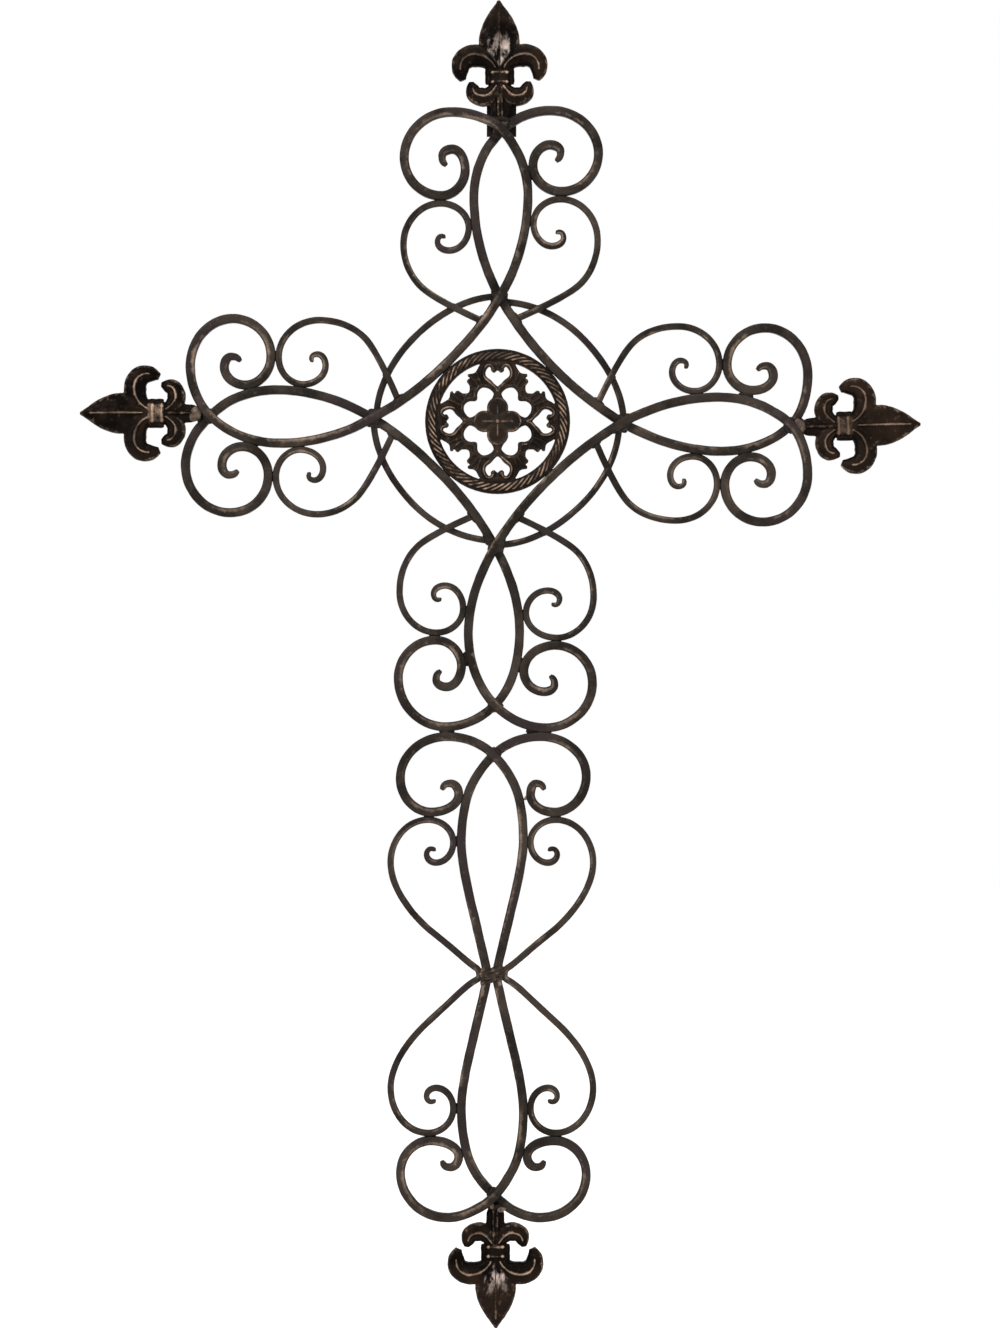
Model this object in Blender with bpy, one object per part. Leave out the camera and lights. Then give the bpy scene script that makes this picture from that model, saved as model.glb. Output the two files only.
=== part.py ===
"""A wrought metal wall cross: bent scroll bars, four cast finials, a cast rosette and a hanger plate.

The ironwork is drawn flat, in a sheet plane with x to the right, y up and z towards the viewer, with the
rosette's centre at the sheet's origin. One empty stands the sheet upright, front to -Y, and puts the hanger
plate, just above the slot that rests on a nail, at the world's origin, with its back on the wall plane y = 0.
"""

import math

import bmesh
import bpy
from mathutils import Vector

MM = 0.001

# Bar stock and joints
HEAVY_BAR = 4.9 * MM
LIGHT_BAR = 3.2 * MM
WELD_GAP = 0.3 * MM
TIP_TAPER = 0.62
TIP_TAPER_LENGTH = 11.0 * MM
CHORD_ERROR = 0.45 * MM
DEPTH_CARE = 4.0
CROSSING_RAMP = 9.0 * MM

# The cross's centre; each ring arc is named for its two arms, with its radius at the start, middle and end
ROSETTE_RADIUS = 41.6 * MM
ROSETTE_OFFSET = (-0.8 * MM, -0.6 * MM)
RING_RADII = {
    "top_left": (71.6 * MM, 68.4 * MM, 70.6 * MM),
    "left_bottom": (72.0 * MM, 68.7 * MM, 69.0 * MM),
    "bottom_right": (71.2 * MM, 67.6 * MM, 69.2 * MM),
    "right_top": (71.6 * MM, 67.6 * MM, 68.4 * MM),
}

# The four arms, each a little off square and off size because the cross is bent and welded by hand
ARM_ORDER = ("top", "left", "bottom", "right")
ARM_BEARING_DEG = {"top": 89.5, "left": 179.0, "bottom": 269.2, "right": -1.0}
OUTER_CROSSING = {"top": 166.4 * MM, "left": 165.9 * MM, "bottom": 163.3 * MM, "right": 167.3 * MM}
INNER_CROSSING = {"top": 70.8 * MM, "left": 72.4 * MM, "bottom": 72.6 * MM, "right": 71.2 * MM}
ALMOND_HALF_WIDTH = {"top": 15.5 * MM, "left": 15.3 * MM, "bottom": 14.7 * MM, "right": 15.5 * MM}
ALMOND_WIDEST = {"top": 129.0 * MM, "left": 126.4 * MM, "bottom": 121.4 * MM, "right": 126.8 * MM}
ALMOND_SHIFT = {"top": 0.0 * MM, "left": 0.0 * MM, "bottom": -1.2 * MM, "right": 0.0 * MM}
INNER_CROSSING_DEG = 30.0
RING_SKEW_DEG = 35.0
OUTER_CROSSING_DEG = 45.0

# Each side of an arm: how far its heavy loop reaches, where heavy and light loop meet, the extra gap
# between heavy curl and almond, and how far the light scroll's foot is moved along the arm
ARM_SIDES = {
    ("top", 1): (176.7 * MM, 126.0 * MM, 2.0 * MM, -1.0 * MM),
    ("top", -1): (178.0 * MM, 129.0 * MM, 0.5 * MM, 0.8 * MM),
    ("left", 1): (179.4 * MM, 129.2 * MM, 0.5 * MM, 3.5 * MM),
    ("left", -1): (177.6 * MM, 128.8 * MM, 0.5 * MM, 0.0 * MM),
    ("bottom", 1): (176.0 * MM, 126.0 * MM, 0.3 * MM, -3.0 * MM),
    ("bottom", -1): (176.2 * MM, 124.0 * MM, 1.5 * MM, -4.6 * MM),
    ("right", 1): (176.7 * MM, 127.6 * MM, 1.6 * MM, -1.6 * MM),
    ("right", -1): (177.6 * MM, 127.5 * MM, 0.3 * MM, -2.8 * MM),
}

SIDE_NAMES = {
    ("top", 1): "left",
    ("top", -1): "right",
    ("left", 1): "lower",
    ("left", -1): "upper",
    ("bottom", 1): "right",
    ("bottom", -1): "left",
    ("right", 1): "upper",
    ("right", -1): "lower",
}

# The scrolls of the arms, along the arm from where the loops meet and sideways from its axis
HEAVY_LOOP_TOP_OUT = 28.7 * MM
HEAVY_LOOP_SIDE = (24.4 * MM, 55.7 * MM)
LOOP_FOOT_OUT = 34.4 * MM
HEAVY_LOOP_INNER_ALONG = 17.5 * MM
HEAVY_CURL_TOP = (29.3 * MM, 28.1 * MM)
HEAVY_CURL_SIDE = (25.3 * MM, 34.0 * MM)
HEAVY_TIP = (19.5 * MM, 31.9 * MM)
LIGHT_FOOT = (57.6 * MM, 9.6 * MM)
LIGHT_FOOT_SKEW_DEG = 25.0
LIGHT_SHOULDER = (77.5 * MM, 45.6 * MM)
LIGHT_LOOP_SIDE = (-25.3 * MM, 55.7 * MM)
LIGHT_LOOP_INNER_ALONG = -15.8 * MM
LIGHT_CURL_FOOT = (-28.8 * MM, 29.6 * MM)
LIGHT_CURL_SIDE = (-23.9 * MM, 36.2 * MM)
LIGHT_TIP = (-19.9 * MM, 31.6 * MM)

# The shaft below the lower arm: an upper and a lower half that meet at its waist
SHAFT_OFFSET = -0.7 * MM
SHAFT_HALF = 126.4 * MM
SHAFT_LOOP_RISE = {"upper": 10.6 * MM, "lower": 12.6 * MM}
SHAFT_LOOP_FOOT_ALONG = {"upper": 32.8 * MM, "lower": 31.6 * MM}
SHAFT_CURL_GAP = {("upper", 1): 2.0 * MM, ("upper", -1): 0.1 * MM, ("lower", 1): 0.1 * MM, ("lower", -1): 0.1 * MM}
WAIST_OFFSET = -1.1 * MM
WAIST_HALF_GAP = 0.7 * MM
SHAFT_CROSSING_DEG = 45.0
SHAFT_SHOULDER = (25.0 * MM, 15.0 * MM)
SHAFT_SHOULDER_DEG = 14.0
SHAFT_ALMOND_HALF_WIDTH = 17.8 * MM
SHAFT_ALMOND_ALONG = 49.6 * MM
SHAFT_NECK_DEG = 13.5
SHAFT_NECK = (84.0 * MM, 12.2 * MM)
SHAFT_LOOP_TOP_OUT = 26.8 * MM
SHAFT_LOOP_SIDE = (12.6 * MM, 53.3 * MM)
SHAFT_LOOP_FOOT_OUT = 35.2 * MM
SHAFT_LOOP_INNER_ALONG = 22.6 * MM
SHAFT_CURL_TOP = (16.3 * MM, 24.6 * MM)
SHAFT_TIP = (19.6 * MM, 30.2 * MM)
HEART_RISE = 1.0 * MM
HEART_STRAIGHT = 2.6 * MM
HEART_BEND_RADIUS = 3.0 * MM
HEART_SLOPE_DEG = 52.0
HEART_SHOULDER = (27.6 * MM, 37.5 * MM)
HEART_SHOULDER_DEG = 47.0
HEART_SIDE = (64.7 * MM, 58.1 * MM)
HEART_LOOP_TOP_OUT = 36.6 * MM
HEART_LOOP_INNER_ALONG = 76.3 * MM
HEART_CURL_FOOT = (64.6 * MM, 32.1 * MM)
HEART_CURL_SIDE = (69.5 * MM, 37.5 * MM)
HEART_TIP = (73.2 * MM, 32.0 * MM)

# The binding round the waist
BINDING_LENGTH = 6.6 * MM
BINDING_WALL = 1.1 * MM
BINDING_GAP = 0.5 * MM

# Finial, along its axis from the end of its stem and sideways
FINIAL_LENGTH = 68.2 * MM
FINIAL_BACK = 2.4 * MM
FINIAL_RELIEF = 5.2 * MM
FINIAL_TILT_DEG = {"top": 1.2, "left": 1.0, "bottom": 0.3, "right": 2.4}
FINIAL_OFFSET = {"top": 0.8 * MM, "left": -1.1 * MM, "bottom": 0.8 * MM, "right": -0.8 * MM}
STEM_HALF_WIDTH = 5.2 * MM
STEM_END_HALF_WIDTH = 2.6 * MM
STEM_TAPER = 3.0 * MM
BOTTOM_STEM_EXTRA = 1.5 * MM
SPEAR_HALF_WIDTH = 11.9 * MM
SPEAR_WIDEST_ALONG = 43.5 * MM
COLLAR_LENGTH = 9.6 * MM
COLLAR_HALF_WIDTH = 7.9 * MM
COLLAR_ALONG = 24.9 * MM
BAND_WIDTH = 2.4 * MM

# Finial leaves: each knot's place sideways and along in millimetres, its heading off the axis, turning
# outwards, and its half width in millimetres
LARGE_LEAF = ((2.0, 28.6, 18.0, 4.4), (14.0, 37.8, 86.0, 6.2), (22.7, 30.6, 172.0, 5.0), (20.9, 22.4, 204.0, 1.1))
SMALL_LEAF = ((1.5, 16.4, 150.0, 4.2), (9.8, 12.3, 88.0, 4.5), (15.5, 16.4, 14.0, 4.3), (16.5, 21.8, -12.0, 1.1))
LARGE_LEAF_BACK = 2.2 * MM
SMALL_LEAF_BACK = 2.0 * MM
LEAF_RELIEF = 4.16 * MM
SPEAR_FOOT_HALF_WIDTH = 4.6 * MM
SPEAR_TIP_HALF_WIDTH = 0.3 * MM
STEM_BACK = 2.3 * MM
STEM_FRONT = 1.6 * MM
STEM_RIB = (3.8 * MM, 3.6 * MM)
COLLAR_BACK = 2.5 * MM
COLLAR_FRONT = 2.8 * MM
BAND_HALF_WIDTH = 5.3 * MM
BAND_FRONT = 5.0 * MM
BAND_MARGIN = 0.6 * MM

# Rosette; its patterns are drawn in units of which its radius has this many
PATTERN_RADIUS = 72.5
HEART_PATTERN = ((0.0, 35.0), (6.2, 41.0), (12.4, 47.2), (11.4, 53.8), (7.6, 55.6), (5.8, 51.0), (2.8, 49.4))
LIGHT_PATTERN = ((10.1, 11.2), (10.4, 18.8), (5.6, 25.6), (7.4, 31.0), (13.0, 33.4), (19.0, 30.2), (20.3, 22.8))
TUFT_PATTERN = ((22.3, 51.6), (30.2, 47.8), (27.6, 43.6), (30.4, 39.0), (29.0, 29.0))
CRESCENT_RIM_DEG = (73.0, 59.0, 45.0)
ROPE_WIDTH = 7.4 * MM
ROPE_DEPTH = 6.0 * MM
ROPE_SHOULDER = 0.3
ROPE_CROWN = 0.45
ROSETTE_SIDES = 32
ROSETTE_WEB = 3.0 * MM
QUATREFOIL_REACH = 23.4
QUATREFOIL_LOBE = 9.9
QUATREFOIL_RISE = 1.3 * MM
PEARL_RADIUS = 1.5 * MM

# Hanger plate
PLATE_WIDTH = 17.0 * MM
PLATE_BELOW_CROSSING = 2.4 * MM
PLATE_HEIGHT = 26.4 * MM
PLATE_THICKNESS = 2.0 * MM
SLOT_WIDTH = 4.6 * MM
SLOT_TOP_MARGIN = 3.2 * MM
KEYHOLE_DIAMETER = 7.6 * MM
KEYHOLE_DROP = 5.2 * MM

# Derived places
HEAVY_HALF = HEAVY_BAR / 2
LIGHT_HALF = LIGHT_BAR / 2
HEAVY_TO_HEAVY = HEAVY_BAR + WELD_GAP
HEAVY_TO_LIGHT = HEAVY_HALF + LIGHT_HALF + WELD_GAP
CROSSING_STEP = (HEAVY_BAR + WELD_GAP) / 2
RING_BACK = LIGHT_BAR + WELD_GAP
PATTERN_UNIT = ROSETTE_RADIUS / PATTERN_RADIUS
SAMPLES_PER_ARC = 24


def clear_scene():
    for old in list(bpy.data.objects):
        bpy.data.objects.remove(old)


def metal(name, colour, roughness):
    material = bpy.data.materials.new(name)
    material.use_nodes = True
    shader = material.node_tree.nodes["Principled BSDF"]
    shader.inputs["Base Color"].default_value = (*colour, 1.0)
    shader.inputs["Roughness"].default_value = roughness
    shader.inputs["Metallic"].default_value = 0.8
    return material


def heading(degrees):
    return Vector((math.cos(math.radians(degrees)), math.sin(math.radians(degrees))))


def arc_between(start, end):
    """Points of the elliptical arc that leaves one knot and reaches the next along their headings."""
    (ax, ay, a_deg), (bx, by, b_deg) = start, end
    a, b, da, db = Vector((ax, ay)), Vector((bx, by)), heading(a_deg), heading(b_deg)
    turn = abs(math.remainder(math.radians(b_deg - a_deg), math.tau))
    cross = da.x * db.y - da.y * db.x
    chord = b - a
    leg_a = (chord.x * db.y - chord.y * db.x) / cross if cross else 0.0
    leg_b = (da.x * chord.y - da.y * chord.x) / cross if cross else 0.0
    if min(leg_a, leg_b) > 0.0 and turn > math.radians(2.0):
        pull = 4 / 3 * math.tan(turn / 4) / math.tan(turn / 2)
        c1, c2 = a + da * leg_a * pull, b - db * leg_b * pull
    else:
        c1, c2 = a + da * chord.length / 3, b - db * chord.length / 3
    points = []
    for i in range(SAMPLES_PER_ARC):
        t = i / SAMPLES_PER_ARC
        s = 1 - t
        points.append(a * s**3 + c1 * (3 * s * s * t) + c2 * (3 * s * t * t) + b * t**3)
    return points


def through(knots):
    """One smooth line through knots of (x, y, heading in degrees)."""
    points = []
    for start, end in zip(knots, knots[1:]):
        points += arc_between(start, end)
    return points + [Vector(knots[-1][:2])]


def backwards(knots):
    return [(x, y, degrees + 180.0) for x, y, degrees in reversed(knots)]


def placed(knots, origin, bearing_deg, side):
    """Knots given along and sideways of an axis, as sheet places."""
    along, across = heading(bearing_deg), heading(bearing_deg + 90.0)
    moved = []
    for u, v, degrees in knots:
        place = Vector(origin) + along * u + across * (v * side)
        moved.append((place.x, place.y, bearing_deg + degrees * side))
    return moved


def side_width_at(line, along):
    """How far a line of (along, sideways) points stands out at one place along its axis."""
    for p, q in zip(line, line[1:]):
        if min(p.x, q.x) <= along <= max(p.x, q.x) and p.x != q.x:
            return abs(p.y + (q.y - p.y) * (along - p.x) / (q.x - p.x))
    return abs(line[-1].y)


def almond_knots(arm, side):
    """One side of an arm's almond, from the outer crossing to the inner one."""
    shift = ALMOND_SHIFT[arm] * side
    return [
        (OUTER_CROSSING[arm], 0.0, 180.0 + OUTER_CROSSING_DEG),
        (ALMOND_WIDEST[arm], shift - ALMOND_HALF_WIDTH[arm], 180.0),
        (INNER_CROSSING[arm], shift, 180.0 - INNER_CROSSING_DEG),
    ]


def heavy_scroll_knots(arm, side):
    """A heavy bar from its scrolled tip to the arm's inner crossing."""
    reach, meet, curl_gap, _ = ARM_SIDES[arm, side]
    inner_along = meet + HEAVY_LOOP_INNER_ALONG
    beside = through(almond_knots(arm, -side))
    inner_out = side_width_at(beside, inner_along) + HEAVY_TO_HEAVY + curl_gap
    return [
        (meet + HEAVY_TIP[0], HEAVY_TIP[1], 72.0),
        (meet + HEAVY_CURL_SIDE[0], HEAVY_CURL_SIDE[1], 0.0),
        (meet + HEAVY_CURL_TOP[0], HEAVY_CURL_TOP[1], -90.0),
        (inner_along, inner_out, -180.0),
        (meet + (HEAVY_BAR + WELD_GAP) / 2, LOOP_FOOT_OUT, -270.0),
        (meet + HEAVY_LOOP_SIDE[0], HEAVY_LOOP_SIDE[1], -360.0),
        (reach, HEAVY_LOOP_TOP_OUT, -450.0),
    ] + almond_knots(arm, side)


def light_scroll_knots(arm, side):
    """A light scroll from its foot on the diamond to its tip."""
    _, meet, _, foot_shift = ARM_SIDES[arm, side]
    inner_along = meet + LIGHT_LOOP_INNER_ALONG
    inner_out = side_width_at(through(almond_knots(arm, -side)), inner_along) + HEAVY_TO_LIGHT
    return [
        (LIGHT_FOOT[0] + foot_shift, LIGHT_FOOT[1], 66.0),
        (LIGHT_SHOULDER[0] + foot_shift, LIGHT_SHOULDER[1], 46.0),
        (meet + LIGHT_LOOP_SIDE[0], LIGHT_LOOP_SIDE[1], 0.0),
        (meet - (LIGHT_BAR + WELD_GAP) / 2, LOOP_FOOT_OUT, -90.0),
        (inner_along, inner_out, -180.0),
        (meet + LIGHT_CURL_FOOT[0], LIGHT_CURL_FOOT[1], -270.0),
        (meet + LIGHT_CURL_SIDE[0], LIGHT_CURL_SIDE[1], -360.0),
        (meet + LIGHT_TIP[0], LIGHT_TIP[1], -468.0),
    ]


def arm_point(arm, along, across=0.0):
    place = placed([(along, across, 0.0)], (0.0, 0.0), ARM_BEARING_DEG[arm], 1)[0]
    return Vector(place[:2])


def shaft_top():
    """The crossing that starts the shaft: its loops sit under the loops of the bottom arm."""
    loops_end = arm_point("bottom", max(ARM_SIDES["bottom", side][0] for side in (1, -1))).y
    crossing = arm_point("bottom", OUTER_CROSSING["bottom"])
    return Vector((crossing.x + SHAFT_OFFSET, loops_end - HEAVY_TO_HEAVY - SHAFT_LOOP_RISE["upper"]))


def shaft_almond_knots():
    """One side of the shaft from its crossing to its waist, along and sideways."""
    waist_out = HEAVY_HALF + WAIST_HALF_GAP
    return [
        (0.0, 0.0, -SHAFT_CROSSING_DEG),
        (SHAFT_SHOULDER[0], -SHAFT_SHOULDER[1], -SHAFT_SHOULDER_DEG),
        (SHAFT_ALMOND_ALONG, -SHAFT_ALMOND_HALF_WIDTH, 0.0),
        (SHAFT_NECK[0], -SHAFT_NECK[1], SHAFT_NECK_DEG),
        (SHAFT_HALF - BINDING_LENGTH / 2 - WELD_GAP, -waist_out, 0.0),
        (SHAFT_HALF, -waist_out, 0.0),
    ]


def shaft_bar_knots(half, side):
    """Half of a heavy shaft bar, from its scrolled tip to the waist."""
    almond = shaft_almond_knots()
    inner_out = side_width_at(through(almond), SHAFT_LOOP_INNER_ALONG) + HEAVY_TO_HEAVY
    inner_out += SHAFT_CURL_GAP[half, side]
    return [
        (*SHAFT_TIP, -164.0),
        (*SHAFT_CURL_TOP, -90.0),
        (SHAFT_LOOP_INNER_ALONG, inner_out, 0.0),
        (SHAFT_LOOP_FOOT_ALONG[half], SHAFT_LOOP_FOOT_OUT, 90.0),
        (*SHAFT_LOOP_SIDE, 180.0),
        (-SHAFT_LOOP_RISE[half], SHAFT_LOOP_TOP_OUT, 270.0),
    ] + almond


def heart_bar_knots(half):
    """Half of a heart bar, from the waist to its scrolled tip, along from the waist and sideways."""
    binding_out = HEAVY_BAR + WAIST_HALF_GAP + BINDING_GAP + BINDING_WALL
    waist_out = binding_out + WELD_GAP + LIGHT_HALF
    slope = math.radians(HEART_SLOPE_DEG)
    bend_along = HEART_STRAIGHT + HEART_BEND_RADIUS * math.sin(slope)
    bend_out = waist_out + HEART_BEND_RADIUS * (1 - math.cos(slope))
    rise = HEART_RISE if half == "upper" else -HEART_RISE
    almond_along = SHAFT_HALF - HEART_LOOP_INNER_ALONG
    inner_out = side_width_at(through(shaft_almond_knots()), almond_along) + HEAVY_TO_LIGHT
    loop_top = SHAFT_HALF - SHAFT_LOOP_FOOT_ALONG[half] - HEAVY_TO_LIGHT
    return [
        (rise, waist_out, 0.0),
        (rise + HEART_STRAIGHT, waist_out, 0.0),
        (rise + bend_along, bend_out, HEART_SLOPE_DEG),
        (*HEART_SHOULDER, HEART_SHOULDER_DEG),
        (*HEART_SIDE, 0.0),
        (loop_top, HEART_LOOP_TOP_OUT, -90.0),
        (HEART_LOOP_INNER_ALONG, inner_out, -180.0),
        (*HEART_CURL_FOOT, -270.0),
        (*HEART_CURL_SIDE, -360.0),
        (*HEART_TIP, -460.0),
    ]


def lifted(points, crossings, layer):
    """Sheet points with the depth that carries one bar over or under the others at its crossings."""
    plateau = HEAVY_BAR
    line = []
    for p in points:
        distance = min((p - c).length for c in crossings) if crossings else math.inf
        share = min(1.0, max(0.0, (distance - plateau) / CROSSING_RAMP))
        line.append(Vector((p.x, p.y, layer * CROSSING_STEP * (1 + math.cos(math.pi * share)) / 2)))
    return line


def widest_miss(line, first, last):
    """How far the line strays from the chord between two of its points, more strictly in depth."""
    run = line[last] - line[first]
    widest = 0.0
    for place in line[first + 1 : last]:
        off = place - line[first]
        share = min(1.0, max(0.0, off.dot(run) / run.length_squared))
        miss = off - run * share
        miss.z *= DEPTH_CARE
        widest = max(widest, miss.length)
    return widest


def thinned(line):
    """The line with only the points that hold it within the chord error."""
    kept = [0]
    while kept[-1] < len(line) - 1:
        last = kept[-1] + 1
        while last + 1 < len(line) and widest_miss(line, kept[-1], last + 1) <= CHORD_ERROR:
            last += 1
        kept.append(last)
    return [line[i] for i in kept]


def trimmed(line, others, clearance):
    """A line whose first half is cut back to where it last comes within a clearance of other lines."""

    def distance(p):
        best = math.inf
        for other in others:
            for a, b in zip(other, other[1:]):
                run = b - a
                share = min(1.0, max(0.0, (p - a).dot(run) / max(run.length_squared, 1e-18)))
                best = min(best, (p - a - run * share).length)
        return best

    close = [i for i, p in enumerate(line[: len(line) // 2]) if distance(p) < clearance]
    if not close:
        return line
    near, far = line[close[-1]], line[close[-1] + 1]
    share = (clearance - distance(near)) / (distance(far) - distance(near))
    return [near.lerp(far, share), *line[close[-1] + 1 :]]


class Sheet:
    """Holds the collection, the standing empty and the bar section shapes."""

    def __init__(self, centre):
        self.collection = bpy.data.collections.new("wall_cross")
        bpy.context.scene.collection.children.link(self.collection)
        self.guides = bpy.data.collections.new("guides")
        bpy.context.scene.collection.children.link(self.guides)
        self.root = bpy.data.objects.new("wall_cross_root", None)
        self.root.location = centre
        self.root.rotation_euler = (math.pi / 2, 0.0, 0.0)
        self.collection.objects.link(self.root)

    def add(self, name, data, material):
        item = bpy.data.objects.new(name, data)
        item.parent = self.root
        self.collection.objects.link(item)
        if material is not None and not data.materials:
            data.materials.append(material)
        return item

    def section(self, name, corners):
        """A closed outline that a bar is drawn with, kept out of the model."""
        curve = bpy.data.curves.new(name, "CURVE")
        spline = curve.splines.new("POLY")
        spline.points.add(len(corners) - 1)
        for point, (x, y) in zip(spline.points, corners):
            point.co = (x, y, 0.0, 1.0)
        spline.use_cyclic_u = True
        guide = bpy.data.objects.new(name, curve)
        guide.hide_render = True
        guide.display_type = "WIRE"
        self.guides.objects.link(guide)
        return guide


def square_section(sheet, name, half):
    return sheet.section(name, [(-half, -half), (-half, half), (half, half), (half, -half)])


def bar_curve(name, line, section, radii=None):
    curve = bpy.data.curves.new(name, "CURVE")
    curve.dimensions = "3D"
    curve.twist_mode = "Z_UP"
    curve.bevel_mode = "OBJECT"
    curve.bevel_object = section
    curve.use_fill_caps = True
    spline = curve.splines.new("POLY")
    spline.points.add(len(line) - 1)
    for i, (point, place) in enumerate(zip(spline.points, line)):
        point.co = (place.x, place.y, place.z, 1.0)
        point.radius = 1.0 if radii is None else radii[i]
    return curve


def tapers(line, at_start, at_end):
    """Radii that draw a bar thinner towards its scrolled tips."""
    length = [0.0]
    for p, q in zip(line, line[1:]):
        length.append(length[-1] + (q - p).length)
    radii = []
    for run in length:
        free = min(run if at_start else math.inf, length[-1] - run if at_end else math.inf)
        radii.append(TIP_TAPER + (1.0 - TIP_TAPER) * min(1.0, free / TIP_TAPER_LENGTH))
    return radii


def crossing_places():
    places = [arm_point(arm, OUTER_CROSSING[arm]) for arm in ARM_ORDER]
    places += [arm_point(arm, INNER_CROSSING[arm], ALMOND_SHIFT[arm]) for arm in ARM_ORDER]
    top = shaft_top()
    return places + [top, top - Vector((0.0, 2 * SHAFT_HALF))]


def arm_half(arm, side):
    return placed(heavy_scroll_knots(arm, side), (0.0, 0.0), ARM_BEARING_DEG[arm], side)


def bearings_between(first, second):
    """The bearings of one arm, half way to the next, and of the next."""
    start = ARM_BEARING_DEG[first]
    turn = (ARM_BEARING_DEG[second] - start) % 360.0
    return start, start + turn / 2, start + turn


def diamond_knot(first, second):
    """Where a diamond side rests on the rosette, half way between two arms."""
    bearing = bearings_between(first, second)[1]
    place = Vector(ROSETTE_OFFSET) + heading(bearing) * (ROSETTE_RADIUS + HEAVY_HALF + WELD_GAP)
    return (place.x, place.y, bearing + 90.0)


def add_arm_bars(sheet, material, section):
    """Four heavy bars, each from a scroll of one arm round the rosette to a scroll of the next."""
    lines = {}
    for index, first in enumerate(ARM_ORDER):
        second = ARM_ORDER[(index + 1) % len(ARM_ORDER)]
        knots = arm_half(first, 1) + [diamond_knot(first, second)] + backwards(arm_half(second, -1))
        points = through(knots)
        layer = 1 if index % 2 == 0 else -1
        line = thinned(lifted(points, crossing_places(), layer))
        name = f"heavy_bar_{first}_{second}"
        curve = bar_curve(name, line, section, tapers(line, True, True))
        sheet.add(name, curve, material)
        lines[first, 1] = lines[second, -1] = points
    return lines


def add_light_scrolls(sheet, material, section, heavy_lines):
    clearance = HEAVY_HALF + WELD_GAP + LIGHT_HALF * math.sin(math.radians(LIGHT_FOOT_SKEW_DEG))
    for (arm, side), side_name in SIDE_NAMES.items():
        knots = placed(light_scroll_knots(arm, side), (0.0, 0.0), ARM_BEARING_DEG[arm], side)
        points = trimmed(through(knots), [heavy_lines[arm, side]], clearance)
        line = thinned(lifted(points, [], 0))
        name = f"light_scroll_{arm}_{side_name}"
        sheet.add(name, bar_curve(name, line, section, tapers(line, False, True)), material)


def add_ring(sheet, material, section, heavy_lines):
    """Four arcs behind the light scrolls, each from the flank of one inner crossing to the next."""
    skew = math.radians(RING_SKEW_DEG)
    clearance = HEAVY_HALF + WELD_GAP + LIGHT_HALF * math.sin(skew)
    for index, (name, radii) in enumerate(RING_RADII.items()):
        first, second = ARM_ORDER[index], ARM_ORDER[(index + 1) % len(ARM_ORDER)]
        places = zip(radii, bearings_between(first, second))
        line = through([(*(heading(b) * radius), b + 90.0) for radius, b in places])
        line = trimmed(line, [heavy_lines[first, 1], heavy_lines[first, -1]], clearance)
        line = trimmed(line[::-1], [heavy_lines[second, 1], heavy_lines[second, -1]], clearance)
        line = thinned([Vector((p.x, p.y, -RING_BACK)) for p in line])
        sheet.add(f"ring_arc_{name}", bar_curve(name, line, section), material)


def add_shaft_bars(sheet, material, heavy, light):
    """Two heavy bars that kiss at the waist and two light heart bars outside them."""
    top = shaft_top()
    waist = top - Vector((0.0, SHAFT_HALF))
    bottom = waist - Vector((0.0, SHAFT_HALF))
    for side, name in ((1, "right"), (-1, "left")):
        upper = placed(shaft_bar_knots("upper", side), top, 270.0, side)
        lower = placed(shaft_bar_knots("lower", side), bottom, 90.0, -side)
        knots = upper + backwards(lower)[1:]
        points = [eased_to_waist(p, waist) for p in through(knots)]
        line = thinned(lifted(points, crossing_places(), -side))
        bar = bar_curve(f"shaft_bar_{name}", line, heavy, tapers(line, True, True))
        sheet.add(bar.name, bar, material)
        centre = waist + Vector((WAIST_OFFSET, 0.0))
        up = placed(heart_bar_knots("upper"), centre, 90.0, -side)
        down = placed(heart_bar_knots("lower"), centre, 270.0, side)
        line = thinned(lifted(through(backwards(up) + down[1:]), [], 0))
        bar = bar_curve(f"heart_bar_{name}", line, light, tapers(line, True, True))
        sheet.add(bar.name, bar, material)


def eased_to_waist(point, waist):
    """A shaft point moved with the waist, which stands a little to one side of the shaft's crossings."""
    share = min(1.0, abs(point.y - waist.y) / SHAFT_HALF)
    return Vector((point.x + WAIST_OFFSET * (1.0 - share**3), point.y))


def mesh_from(item, material):
    """A closed mesh made from a curve object, which is then removed."""
    bpy.context.view_layer.update()
    evaluated = item.evaluated_get(bpy.context.evaluated_depsgraph_get())
    mesh = bpy.data.meshes.new_from_object(evaluated)
    shape = bmesh.new()
    shape.from_mesh(mesh)
    bmesh.ops.remove_doubles(shape, verts=shape.verts, dist=0.01 * MM)
    bmesh.ops.recalc_face_normals(shape, faces=shape.faces)
    shape.to_mesh(mesh)
    shape.free()
    bpy.data.objects.remove(item)
    mesh.materials.clear()
    mesh.materials.append(material)
    return mesh


def joined(sheet, name, meshes, material):
    """One mesh of several overlapping closed ones, by Boolean union."""
    base = bpy.data.objects.new(name, meshes[0])
    sheet.guides.objects.link(base)
    tools = []
    for mesh in meshes[1:]:
        tool = bpy.data.objects.new(f"{name}_tool", mesh)
        sheet.guides.objects.link(tool)
        union = base.modifiers.new("join", "BOOLEAN")
        union.operation = "UNION"
        union.object = tool
        tools.append(tool)
    bpy.context.view_layer.update()
    evaluated = base.evaluated_get(bpy.context.evaluated_depsgraph_get())
    mesh = bpy.data.meshes.new_from_object(evaluated)
    mesh.name = name
    mesh.materials.clear()
    mesh.materials.append(material)
    for item in [base, *tools]:
        bpy.data.objects.remove(item)
    return mesh


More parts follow.
